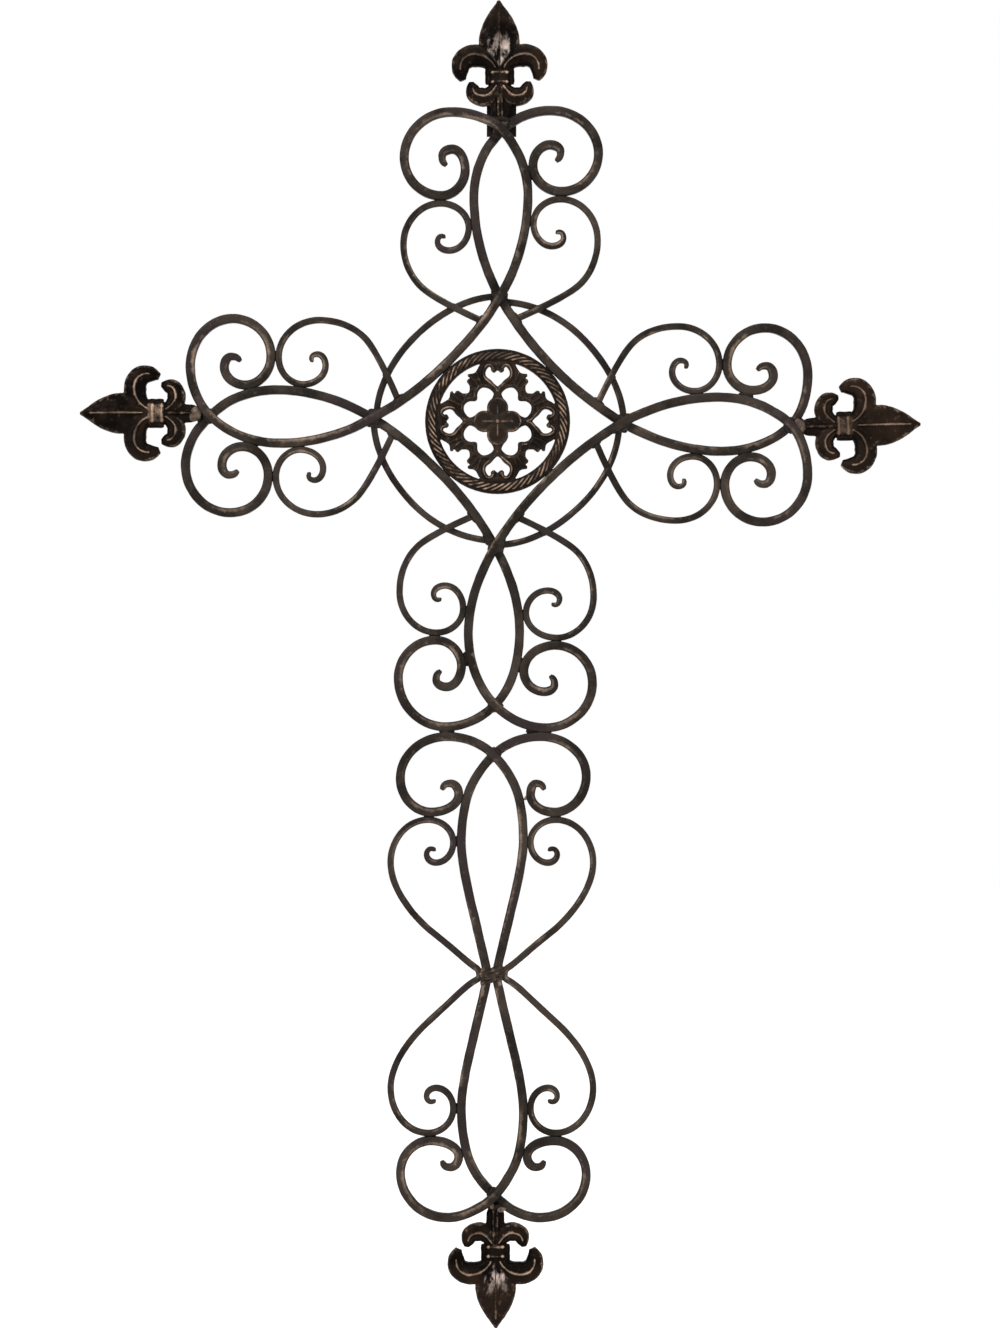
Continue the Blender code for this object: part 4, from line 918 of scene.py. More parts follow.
def add_welds(table, centre, material):
    """Weld beads: dark ones where the bars and finials join, and a few bright ones."""
    shells = []
    for number, (place, direction, second, gap, thick, names, at_end) in enumerate(contacts(table)):
        if "shaft_bar_left" in names and "shaft_bar_right" in names and gap > OPEN_GAP:
            continue
        at_foot = at_end and "rosette" not in names
        shells.append(contact_weld(number, place, direction, second, gap, thick, at_foot))
    for arm in ARM_ORDER:
        place, turn = finial_seat(arm)
        shells.append(blob((place.x, place.y, 0.3 * MM), heading(math.degrees(turn)), SEAT_WELD, 77.0))
    for x, y in WELD_PADS:
        shells.append(blob((x, y, -0.4 * MM), (1.0, 0.0), PAD_WELD, x * 900.0))
    plain = sum(len(shell_verts) for shell_verts, _ in shells)
    for number, (x, y, z, long, wide, degrees) in enumerate(BRIGHT_WELDS):
        shells.append(blob(mm(x, y, z), heading(degrees), mm(long, wide, 1.5), number + 0.5))
    verts, faces = merged(shells)
    bright = (np.arange(len(verts)) >= plain) * 1.0
    wear_and_highlight = np.clip(0.1 + 0.6 * bright + jitter(verts, 2.0 * MM, 0.3, 3.0), 0.0, 1.0)
    shade_and_grime = np.clip(0.45 - 0.45 * bright - jitter(verts, 1.3 * MM, 0.5, 8.0), 0.0, 1.0)
    piece("weld_beads", to_world(verts, centre), faces, wear_and_highlight, shade_and_grime, material, [])


def evaluated_mesh(item):
    """An object's mesh with its modifiers applied, and the object itself removed."""
    bpy.context.view_layer.update()
    evaluated = item.evaluated_get(bpy.context.evaluated_depsgraph_get())
    mesh = bpy.data.meshes.new_from_object(evaluated)
    bpy.data.objects.remove(item)
    return mesh


def rows_of(items, label, width, kind=float):
    """One property of all the items of a mesh, as rows of numbers."""
    values = np.empty(len(items) * width, kind)
    items.foreach_get(label, values)
    return values.reshape(-1, width)


def cast_mesh(shells, voxel, smoothing):
    """One softened cast body of overlapping shells: points, normals, faces and how far each stands out."""
    verts, faces = merged(shells)
    mesh = bpy.data.meshes.new("shells")
    mesh.from_pydata([tuple(v / MM) for v in verts], [], faces)
    item = linked("shells", mesh)
    remesh = item.modifiers.new("voxels", "REMESH")
    remesh.mode = "VOXEL"
    remesh.voxel_size = voxel / MM
    solid = evaluated_mesh(item)
    places = rows_of(solid.vertices, "co", 3)
    edges = rows_of(solid.edges, "vertices", 2, int)
    degree = np.bincount(edges.ravel(), minlength=len(places))[:, None]

    def neighbours(values):
        total = np.zeros_like(values)
        np.add.at(total, edges[:, 0], values[edges[:, 1]])
        np.add.at(total, edges[:, 1], values[edges[:, 0]])
        return total / np.maximum(degree, 1)

    for step in range(smoothing):
        places += (neighbours(places) - places) * (0.62 if step % 2 == 0 else -0.3)
    solid.vertices.foreach_set("co", places.ravel())
    solid.update()
    normals = rows_of(solid.vertices, "normal", 3)
    bend = ((places - neighbours(places)) * normals).sum(axis=1)[:, None]
    for _ in range(2):
        bend = bend * 0.4 + neighbours(bend) * 0.6
    bend = bend[:, 0] / (voxel / MM)
    polygons = [tuple(polygon.vertices) for polygon in solid.polygons]
    return places * MM, normals, polygons, bend


def graded(values, low, high):
    """0 up to the low value, 1 from the high one, and even between."""
    return np.clip((values - low) / (high - low), 0.0, 1.0)


def limb(knots, rows, back, rings, count=14):
    """A cast leaf or stem along knots; each row is a share of its length, its half width and its height."""
    line = spaced(at_depth(through(knots), 0.0), 0.2 * MM)
    line = line[np.linspace(0, len(line) - 1, rings).astype(int)]
    share = np.linspace(0.0, 1.0, rings)
    at, widths, heights = zip(*rows)
    width = np.interp(share, at, widths)
    height = np.interp(share, at, heights)
    kernel = np.array([0.25, 0.5, 0.25])
    for _ in range(3):
        width[1:-1] = np.convolve(width, kernel, "valid")
        height[1:-1] = np.convolve(height, kernel, "valid")
    section = dome_section(count)
    verts, faces = swept(line, section, width, height)
    feet = np.zeros(len(section), bool)
    feet[[0, -1]] = True
    verts[np.tile(feet, rings), 2] = -back
    return verts, faces


def rod(points, radii):
    """A round rod through places (x, y, z), tapering between the radii at its ends and middle."""
    line = np.array([tuple(p) for p in points])
    share = np.linspace(0.0, 1.0, len(line))
    radius = np.interp(share, np.linspace(0.0, 1.0, len(radii)), radii)
    return swept(line, round_section(ROD_SIDES), radius, radius)


def spline(places, steps, closed=False):
    """A smooth line through flat places."""
    places = [Vector(p) for p in places]
    count = len(places)
    line = []
    for i in range(count if closed else count - 1):
        if closed:
            a, b, c, d = (places[(i + k) % count] for k in (-1, 0, 1, 2))
        else:
            a, b, c, d = (places[min(max(i + k, 0), count - 1)] for k in (-1, 0, 1, 2))
        for k in range(steps):
            t = k / steps
            line.append(0.5 * (2 * b + (c - a) * t + (2 * a - 5 * b + 4 * c - d) * t * t
                               + (3 * b - a - 3 * c + d) * t**3))
    return line if closed else line + [places[-1]]


def at_depth(points, depth):
    """Flat places, all at one depth."""
    return [Vector((p.x, p.y, depth)) for p in points]


def in_metres(rows):
    """Rows of a share, a half width and a height, the last two given in millimetres."""
    return [(share, width * MM, height * MM) for share, width, height in rows]


def swapped(points):
    """Points mirrored over the diagonal of their quarter."""
    return [Vector((p.y, p.x)) for p in points]


def box_shell(half, centre):
    """A box, from its half sizes and its middle."""
    corners = np.array([(x, y, z) for x in (-1, 1) for y in (-1, 1) for z in (-1, 1)], float)
    verts = corners * np.array(half) + np.array(centre)
    return verts, [(0, 1, 3, 2), (4, 6, 7, 5), (0, 4, 5, 1), (2, 3, 7, 6), (0, 2, 6, 4), (1, 5, 7, 3)]


def leaf_knots(crest, side, base):
    """The knots of a finial's leaf on one side."""
    return [(side * x * MM, base + y * MM, 90.0 - side * turn) for x, y, turn in crest]


def spear_rows(start, span, base):
    """The half width and height of a finial's spear at shares of its length."""
    sides = [(0.0, 3.2 * MM), (0.14, 6.4 * MM)]
    for share in np.linspace(0.2, 1.0, 12):
        along = start + share * span - base
        if along < SPEAR_WIDEST_ALONG:
            rise = (along - COLLAR_ALONG) / (SPEAR_WIDEST_ALONG - COLLAR_ALONG)
            width = SPEAR_NECK + (SPEAR_HALF_WIDTH - SPEAR_NECK) * rise ** 0.9
        else:
            fall = (along - SPEAR_WIDEST_ALONG) / (FINIAL_LENGTH - SPEAR_WIDEST_ALONG)
            width = SPEAR_HALF_WIDTH * (1.0 - fall ** 2)
        sides.append((share, max(width, 0.8 * MM)))
    heights = [2.4 * MM + 2.5 * MM * min(1.0, width / SPEAR_HALF_WIDTH) for _, width in sides[:-1]]
    return [(share, width, height) for (share, width), height in zip(sides, [*heights, 1.0 * MM])]


def finial_shells(extra, rib_offset):
    """The shells of one fleur-de-lis, standing on its stem's end."""
    tip = FINIAL_LENGTH + extra
    collar = extra + COLLAR_ALONG
    half_collar = COLLAR_LENGTH / 2
    start = collar + half_collar - 2.0 * MM
    span = tip - start
    rows = spear_rows(start, span, extra)
    shells = [limb([(0.0, start, 90.0), (0.0, tip, 90.0)], rows, FINIAL_BACK, 46, 18)]
    ridge = [(0.0, start + span * t, 4.3 * MM + 0.5 * MM * math.sin(math.pi * min(1.0, t * 1.25)))
             for t in np.linspace(0.1, 0.86, 30)]
    shells.append(rod(ridge, mm(0.55, 0.7, 0.35)))
    for side in (1, -1):
        shells.append(limb(leaf_knots(LARGE_CREST, side, extra), in_metres(LARGE_LEAF_SHAPE), 2.2 * MM, 44))
        shells.append(limb(leaf_knots(SMALL_CREST, side, extra), in_metres(SMALL_LEAF_SHAPE), 2.0 * MM, 38))
        rib = [(side * rib_offset, y, 2.3 * MM) for y in np.linspace(0.7 * MM, collar - 2.0 * MM, 24)]
        shells.append(rod(rib, mm(0.85, 0.95, 0.95)))
    for crest in crest_lines(extra):
        share = np.linspace(0.0, 1.0, len(crest))
        crest[:, 2] = np.interp(share, [0.0, 0.3, 0.75, 1.0], mm(3.1, 3.8, 3.6, 2.5))
        shells.append(rod(crest, mm(0.66, 0.74, 0.42)))
    shells.append(limb([(0.0, 0.35 * MM, 90.0), (0.0, collar, 90.0)], in_metres(STEM_SHAPE), FINIAL_BACK, 24))
    shells.append(limb([(0.0, collar - half_collar, 90.0), (0.0, collar + half_collar, 90.0)],
                       in_metres(COLLAR_SHAPE), FINIAL_BACK, 22))
    for y, half, radius in COLLAR_BANDS:
        band = [(x * half * MM, collar + y * MM, (3.6 - 1.3 * abs(x) ** 2.4) * MM)
                for x in np.linspace(-1.0, 1.0, 15)]
        shells.append(rod(band, [radius * 0.8 * MM, radius * MM, radius * 0.8 * MM]))
    return shells


def crest_lines(base):
    """The raised lines of a finial's leaves, as rows of (sideways, along)."""
    lines = []
    for side in (1, -1):
        for leaf, first, last in ((LARGE_CREST, 2, 0.84), (SMALL_CREST, 1, 0.86)):
            line = spaced(at_depth(through(leaf_knots(leaf, side, base)), 0.0), 1.0 * MM)
            lines.append(line[first : int(len(line) * last)])
    return lines


def closeness(verts, lines, near, far):
    """1 within the near distance of any of the lines, seen from the front, fading to 0 at the far one."""
    points = np.concatenate([spaced(line, 0.4 * MM) for line in lines])
    share = np.zeros(len(verts))
    block_size = 4000
    for start in range(0, len(verts), block_size):
        block = slice(start, start + block_size)
        gaps = verts[block, None, :2] - points[None, :, :2]
        share[block] = 1.0 - graded(np.hypot(gaps[..., 0], gaps[..., 1]).min(axis=1), near, far)
    return share


def row(half, y):
    """A level line across a finial."""
    return np.array([(-half, y, 0.0), (half, y, 0.0)])


def stalk(x, low, high):
    """A line along a finial."""
    return np.array([(x, low, 0.0), (x, high, 0.0)])


def finial_lines(local, extra, upright, front):
    """How rubbed each point is by a finial's lines: leaf crests, collar bands, stem ribs, spear ridge."""
    leaves = crest_lines(extra)
    full = [line[int(len(line) * 0.3) : int(len(line) * 0.72)] for line in leaves]
    crests = closeness(local, leaves, 0.2 * MM, 0.8 * MM)
    crests = np.maximum(crests, closeness(local, full, 0.4 * MM, 1.2 * MM) * 0.8) * front
    middle = extra + COLLAR_ALONG
    levels = (middle - 4.0 * MM, middle + 1.4 * MM)
    bands = closeness(local, [row(5.0 * MM, y) for y in levels], 0.3 * MM, 1.0 * MM) * front
    spots = [np.array([(side * 4.1 * MM, y, 0.0)] * 2) for y in levels for side in (1, -1)]
    spots = closeness(local, spots, 0.5 * MM, 1.3 * MM) * front
    if upright:
        stalks = [stalk(side * RIB_OFFSET, 1.0 * MM, extra + 18.0 * MM) for side in (1, -1)]
        ribs = closeness(local, stalks, 0.2 * MM, 0.75 * MM)
        ridge_start, ridge_wear = 44.0 * MM, 0.5
    else:
        ribs = closeness(local, [stalk(0.0, 3.0 * MM, extra + 17.0 * MM)], 0.5 * MM, 1.2 * MM)
        ridge_start, ridge_wear = 32.0 * MM, 0.85
    ridge = closeness(local, [stalk(0.0, extra + ridge_start, extra + 62.0 * MM)], 0.2 * MM, 0.8 * MM)
    return np.maximum.reduce([crests * 0.8, bands * 0.45, spots, ribs * 0.4, ridge * ridge_wear])


def finial_shades(local, normals, bend, extra, upright):
    """A finial's wear and painted highlights, painted shade and painted glint: upright ones shine at the
    spear's foot, the others on the collar.
    """
    along = local[:, 1] - extra
    side = np.abs(local[:, 0])
    front = graded(local[:, 2], 1.0 * MM, 2.5 * MM)
    lines = finial_lines(local, extra, upright, front)
    wear_and_highlight = graded(bend, 0.08, 0.22) * (0.2 + 0.4 * front)
    # Painted reflection: the flanks that face away from the hollows the leaves curl round, and the flanks
    # high up the spear, are painted lighter as a rim sheen
    away = np.stack([local[:, 0] - np.sign(local[:, 0]) * 11.0 * MM, along - 24.0 * MM], axis=1)
    away = away / np.maximum(np.linalg.norm(away, axis=1), 1.0 * MM)[:, None]
    facing = (normals[:, :2] * away).sum(axis=1)
    flank = graded(np.hypot(normals[:, 0], normals[:, 1]), 0.22, 0.62)
    rim = flank * np.maximum(graded(facing, 0.0, 0.45), graded(along, 38.0 * MM, 42.0 * MM))
    wear_and_highlight = np.maximum(np.maximum(wear_and_highlight, lines), rim * 0.38)
    glint = np.zeros(len(local))
    if upright:
        reach = np.clip((along - 29.5 * MM) * 0.75, 0.0, 7.0 * MM)
        patch = graded(reach - side, -0.3 * MM, 1.2 * MM) * (1.0 - graded(along, 40.0 * MM, 50.0 * MM))
        glint = patch * graded(side, 0.15 * MM, 0.5 * MM) * front
    else:
        # Painted highlight: on side finials the collar is painted lighter
        collar = graded(along, 19.5 * MM, 21.0 * MM) * (1.0 - graded(along, 28.5 * MM, 30.0 * MM))
        wear_and_highlight = wear_and_highlight + collar * (1.0 - graded(side, 5.2 * MM, 6.4 * MM)) * front * 0.5
    # Painted shade: darker in hollows, on the flanks turned towards the leaves' hollows and on the low back
    # of the casting, but not on the raised lines
    shaded_hollow = graded(-bend, 0.02, 0.12) + graded(-facing, 0.1, 0.6) * flank + (0.5 - 0.5 * front) * (1.0 - rim)
    return np.clip(wear_and_highlight, 0.0, 1.0), np.clip(shaded_hollow * (1.0 - lines), 0.0, 1.0), glint


def add_finials(centre, material):
    """The four cast fleur-de-lis ends, each turned and placed on its crossing."""
    for number, arm in enumerate(ARM_ORDER):
        extra = BOTTOM_STEM_EXTRA if arm == "bottom" else 0.0
        upright = arm in ("top", "bottom")
        shells = finial_shells(extra, RIB_OFFSET if upright else 0.0)
        local, normals, faces, bend = cast_mesh(shells, FINIAL_VOXEL, 4)
        rough = jitter(local, 3.0 * MM, 0.16 * MM, number) + jitter(local, 1.1 * MM, 0.06 * MM, 7.0)
        verts = local + normals * rough[:, None]
        place, turn = finial_seat(arm)
        x = verts[:, 0] * math.cos(turn) - verts[:, 1] * math.sin(turn) + place.x
        y = verts[:, 0] * math.sin(turn) + verts[:, 1] * math.cos(turn) + place.y
        stood = np.stack([x, y, np.clip(verts[:, 2], -FINIAL_BACK, FINIAL_RELIEF)], axis=1)
        wear_and_highlight, shade_and_grime, glint = finial_shades(local, normals, bend, extra, upright)
        piece(f"finial_{arm}_cast", to_world(stood, centre), faces, wear_and_highlight, shade_and_grime, material,
              [f"finial_{arm}"], glint)


def ring_shell(inner, outer, low, high):
    """A flat ring, as a square section drawn round a circle."""
    level = (low + high) / 2
    line = [(*place, level) for place in circle(180, (inner + outer) / 2)]
    section = np.array([(-1.0, -1.0), (1.0, -1.0), (1.0, 1.0), (-1.0, 1.0)])
    return swept(line, section, (outer - inner) / 2, (high - low) / 2, closed=True)


def rope_core():
    """The round body of the rope, whose twist is cut into it later."""
    line = [(*place, 0.7 * MM) for place in circle(180, ROSETTE_RADIUS - ROPE_WIDTH / 2)]
    return swept(line, round_section(16), 2.15 * MM, 2.2 * MM, closed=True)


def sphere_shell(centre, radius):
    """A slightly lumpy ball."""
    return blob(centre, (1.0, 0.0), (radius, radius, radius), 0.0)


def in_units(places):
    """Rosette pattern points, from pattern units to metres."""
    return [Vector((x * PATTERN_UNIT, y * PATTERN_UNIT)) for x, y in places]


def mirrored(points):
    """Points on the other side of the middle line."""
    return [Vector((-p.x, p.y)) for p in points]


def turned(points, degrees):
    """Points turned round the rosette's middle."""
    x_axis, y_axis = heading(degrees), heading(degrees + 90.0)
    return [x_axis * p.x + y_axis * p.y for p in points]


def web_shell(outlines, low, high):
    """A flat openwork plate: the first outline less the others, as vertices and faces."""
    curve = bpy.data.curves.new("web", "CURVE")
    curve.dimensions = "2D"
    curve.fill_mode = "BOTH"
    curve.extrude = (high - low) / 2 / MM
    for outline in outlines:
        line = curve.splines.new("POLY")
        line.points.add(len(outline) - 1)
        for point, place in zip(line.points, outline):
            point.co = (place.x / MM, place.y / MM, 0.0, 1.0)
        line.use_cyclic_u = True
    mesh = evaluated_mesh(linked("web", curve))
    shape = bmesh.new()
    shape.from_mesh(mesh)
    bmesh.ops.remove_doubles(shape, verts=shape.verts, dist=0.002)
    bmesh.ops.recalc_face_normals(shape, faces=shape.faces)
    verts = np.array([tuple(v.co) for v in shape.verts]) * MM
    verts[:, 2] += (high + low) / 2
    faces = [tuple(v.index for v in face.verts) for face in shape.faces]
    shape.free()
    return verts, faces


def rosette_outlines():
    """The openings of the top quarter: heart, two-lobed light and crescent."""
    half = in_units(HEART_VOID)
    heart = spline(half + in_units([HEART_VOID_TOP]) + mirrored(half[:0:-1]), 5, closed=True)
    middle = Vector((0.0, LOBE_MIDDLE * PATTERN_UNIT))
    lobe = [middle + heading(d) * (LOBE_RADIUS * PATTERN_UNIT) for d in LIGHT_LOBE_DEG] + in_units(LIGHT_SIDE)
    light = spline(in_units([LIGHT_CORNER]) + lobe + swapped(lobe[::-1]), 5, closed=True)
    edge = [heading(d) * (CRESCENT_RADIUS * PATTERN_UNIT) for d in CRESCENT_DEG]
    corner = [heading(45.0) * (CRESCENT_RADIUS * PATTERN_UNIT)]
    tuft = in_units(TUFT_SIDE)
    crescent = edge + corner + swapped(edge[::-1]) + swapped(tuft) + in_units([TUFT_CORNER]) + tuft[::-1]
    return heart, light, spline(crescent, 4, closed=True)


def lobe_arc(bearing, radius):
    """One round lobe of the quatrefoil, up to where it meets its neighbours."""
    middle = heading(bearing) * (LOBE_MIDDLE * PATTERN_UNIT)
    reach = 45.0 + math.degrees(math.asin(LOBE_MIDDLE * math.sin(math.radians(45.0)) / LOBE_RADIUS))
    return [middle + heading(bearing + reach * i / 14) * (radius * PATTERN_UNIT) for i in range(-14, 15)]


def heart_line(turn, flip):
    """The middle of one bar of a heart, from its stem to its curl."""
    line = in_units(HEART_BAR)
    return turned(spline(mirrored(line) if flip else line, 8), turn)


def rosette_lines():
    """The rosette's raised lines: heart bars, the quatrefoil's rim and the ridges in its lobes."""
    lines = []
    for turn in QUARTERS:
        lines.append(lobe_arc(turn, LOBE_RADIUS - 1.3))
        lines.append(turned(in_units(LOBE_RIDGE), turn))
        lines += [heart_line(turn, flip)[:-6] for flip in (False, True)]
    return [at_depth(line, 0.0) for line in lines]


def quarter_shells(turn, flip):
    """The raised lines on one side of a quarter of the rosette: heart bar, leaf veins, buds and light rim."""
    line = at_depth(heart_line(turn, flip), 1.1 * MM)
    end = line[-1]
    shells = [rod(line, mm(1.2, 1.15, 1.05)), sphere_shell((end.x, end.y, 1.1 * MM), 1.45 * MM)]

    def on_side(pattern):
        return swapped(in_units(pattern)) if flip else in_units(pattern)

    for vein in LEAF_VEINS:
        path = at_depth(turned(spline(on_side(vein), 6), turn), 1.0 * MM)
        shells.append(rod(path, mm(0.6, 0.8, 0.6)))
    for bud in turned(on_side(LEAF_BUDS), turn):
        shells.append(sphere_shell((bud.x, bud.y, 0.7 * MM), 1.0 * MM))
    path = at_depth(turned(spline(on_side(LIGHT_RIM), 6), turn), 1.15 * MM)
    return shells + [rod(path, mm(0.5, 0.8, 0.8))]


def rosette_shells():
    """The shells of the cast rosette: rim, rope, web, quatrefoil, hearts, leaf tufts and a pearl."""
    inner = ROSETTE_RADIUS - ROPE_WIDTH
    voids = rosette_outlines()
    outlines = [circle(120, ROSETTE_RADIUS - ROPE_WIDTH / 2)]
    rim = []
    for turn in QUARTERS:
        outlines += [turned(void, turn) for void in voids]
        rim += lobe_arc(turn, LOBE_RADIUS)
    shells = [web_shell(outlines, -ROSETTE_WEB / 2, 0.7 * MM)]
    shells.append(ring_shell(inner + 0.4 * MM, ROSETTE_RADIUS, -ROPE_DEPTH / 2, 0.2 * MM))
    shells.append(ring_shell(ROSETTE_RADIUS - 1.5 * MM, ROSETTE_RADIUS, 0.0, 1.3 * MM))
    shells.append(ring_shell(inner + 0.4 * MM, inner + 1.4 * MM, 0.0, 1.2 * MM))
    shells.append(rope_core())
    shells.append(web_shell([rim], -ROSETTE_WEB / 2, 1.5 * MM))
    for turn in QUARTERS:
        shells += quarter_shells(turn, False) + quarter_shells(turn, True)
        shells.append(rod(at_depth(turned(in_units(HEART_STEM), turn), 0.9 * MM), mm(1.2, 1.5, 1.5)))
        shells.append(rod(at_depth(turned(in_units(HEART_CLASP), turn), 0.2 * MM), mm(1.2, 1.9, 1.2)))
    shells.append(sphere_shell((0.0, 0.0, 1.5 * MM), 1.6 * MM))
    return shells


def add_rosette(centre, material):
    """The cast rosette: its rope is twisted and its lobes are hollowed here, on the softened body."""
    verts, normals, faces, bend = cast_mesh(rosette_shells(), ROSETTE_VOXEL, 2)
    front = graded(verts[:, 2], 0.4 * MM, 1.6 * MM)
    radius = np.hypot(verts[:, 0], verts[:, 1])
    turn = np.arctan2(verts[:, 1], verts[:, 0])
    rope_middle = ROSETTE_RADIUS - ROPE_WIDTH / 2
    on_rope = 1.0 - graded(np.abs(radius - rope_middle), 1.9 * MM, 2.3 * MM)
    on_rope = on_rope * graded(verts[:, 2], 0.2 * MM, 0.9 * MM)
    slant = (radius - rope_middle) * ROPE_TWISTS / (ROPE_SLOPE * rope_middle)
    strand = np.abs(np.sin((ROPE_TWISTS * turn + slant) / 2))
    facing = graded(normals[:, 2], 0.2, 0.6)
    near_line = closeness(verts, rosette_lines(), 0.15 * MM, 0.95 * MM) * facing
    shaded_hollow = np.zeros(len(verts))
    for bearing in QUARTERS:
        middle = heading(bearing) * (LOBE_MIDDLE * PATTERN_UNIT)
        away = np.hypot(verts[:, 0] - middle.x, verts[:, 1] - middle.y) / PATTERN_UNIT
        shaded_hollow = np.maximum(shaded_hollow, 1.0 - graded(away, LOBE_RADIUS - 4.2, LOBE_RADIUS - 2.4))
    shaded_hollow = np.clip(shaded_hollow - near_line, 0.0, 1.0) * graded(radius, 1.6 * MM, 2.4 * MM) * facing
    verts[:, 2] += near_line * 0.35 * MM - shaded_hollow * 0.6 * MM
    verts = verts + normals * (on_rope * (strand - 0.75) * ROPE_GROOVE)[:, None]
    verts = verts + normals * jitter(verts, 2.0 * MM, 0.08 * MM, 5.0)[:, None]
    patchy = 0.62 + jitter(verts, 6.0 * MM, 0.7, 21.0)
    wear_and_highlight = np.maximum(graded(bend, 0.04, 0.18) * front * 0.75, near_line ** 2 * patchy) * (1.0 - on_rope)
    wear_and_highlight = wear_and_highlight + on_rope * graded(strand, 0.58, 1.0) * np.clip(patchy + 0.12, 0.2, 1.0)
    # The pearl at the middle is painted bright as a painted highlight
    wear_and_highlight = np.maximum(wear_and_highlight, 1.0 - graded(radius, 0.8 * MM, 1.5 * MM))
    outer_rim = graded(radius, ROSETTE_RADIUS - 1.9 * MM, ROSETTE_RADIUS - 1.6 * MM)
    inner_rim = graded(radius, rope_middle - 3.6 * MM, rope_middle - 3.2 * MM)
    inner_rim = inner_rim * graded(-radius, -rope_middle + 1.9 * MM, -rope_middle + 2.2 * MM)
    rims = outer_rim * 0.8 + inner_rim * 0.6
    wear_and_highlight = np.clip(wear_and_highlight * (1.0 - 0.7 * np.clip(rims, 0.0, 1.0)), 0.0, 1.0)
    # Painted shade in creases, between the rope's strands and in the lobes' hollows; the rims are darker too,
    # but nothing is darkened on the raised lines
    shade_and_grime = graded(-bend, 0.02, 0.14) + on_rope * graded(-strand, -0.42, -0.08) + 0.6 * rims + 0.5 * shaded_hollow
    shade_and_grime = np.clip(shade_and_grime * (1.0 - near_line), 0.0, 1.0)
    verts = verts + np.array([ROSETTE_OFFSET[0], ROSETTE_OFFSET[1], 0.0])
    piece("rosette_cast", to_world(verts, centre), faces, wear_and_highlight, shade_and_grime, material,
          ["rosette"])


def wrap_turn(waist, number):
    """One wavy turn of wire round the waist, as a shell."""
    level = (number / (WRAP_TURNS - 1) - 0.5) * (WRAP_HEIGHT - 2 * WRAP_WIRE)
    line = []
    for i in range(64):
        angle = math.tau * i / 64
        c, s = math.cos(angle), math.sin(angle)
        x = math.copysign(abs(c) ** 0.35, c) * (WRAP_HALF_WIDTH - WRAP_WIRE)
        z = math.copysign(abs(s) ** 0.45, s) * (WRAP_HALF_DEPTH - WRAP_WIRE)
        tilt = 0.36 * x + 1.5 * MM * noise.noise(Vector((x / (3 * MM), number * 3.1, 0.0)))
        line.append((waist.x + x, z, waist.y + level + tilt))
    verts, faces = swept(line, round_section(8), WRAP_WIRE, WRAP_WIRE, closed=True)
    return verts[:, [0, 2, 1]], faces


def add_binding(centre, material):
    """Turns of flattened wire and weld round the four bars at the waist."""
    waist = shaft_top() - Vector((-WAIST_OFFSET, SHAFT_HALF))
    shells = [wrap_turn(waist, number) for number in range(WRAP_TURNS)]
    shells.append(box_shell(WRAP_CORE, (waist.x, waist.y, 0.0)))
    verts, normals, faces, bend = cast_mesh(shells, WRAP_VOXEL, 3)
    lumps = jitter(verts, 2.8 * MM, 0.8 * MM, 2.0) + jitter(verts, 1.0 * MM, 0.25 * MM, 9.0)
    verts = verts + normals * lumps[:, None]
    wear_and_highlight = np.clip(graded(bend, 0.02, 0.14) * 0.75 + lumps / MM * 0.6, 0.0, 1.0)
    # Painted shade in the hollows between the lumps and turns
    shade_and_grime = graded(-bend - lumps / MM * 0.15, -0.02, 0.1)
    piece("waist_wrap", to_world(verts, centre), faces, wear_and_highlight, shade_and_grime, material,
          ["waist_binding"])


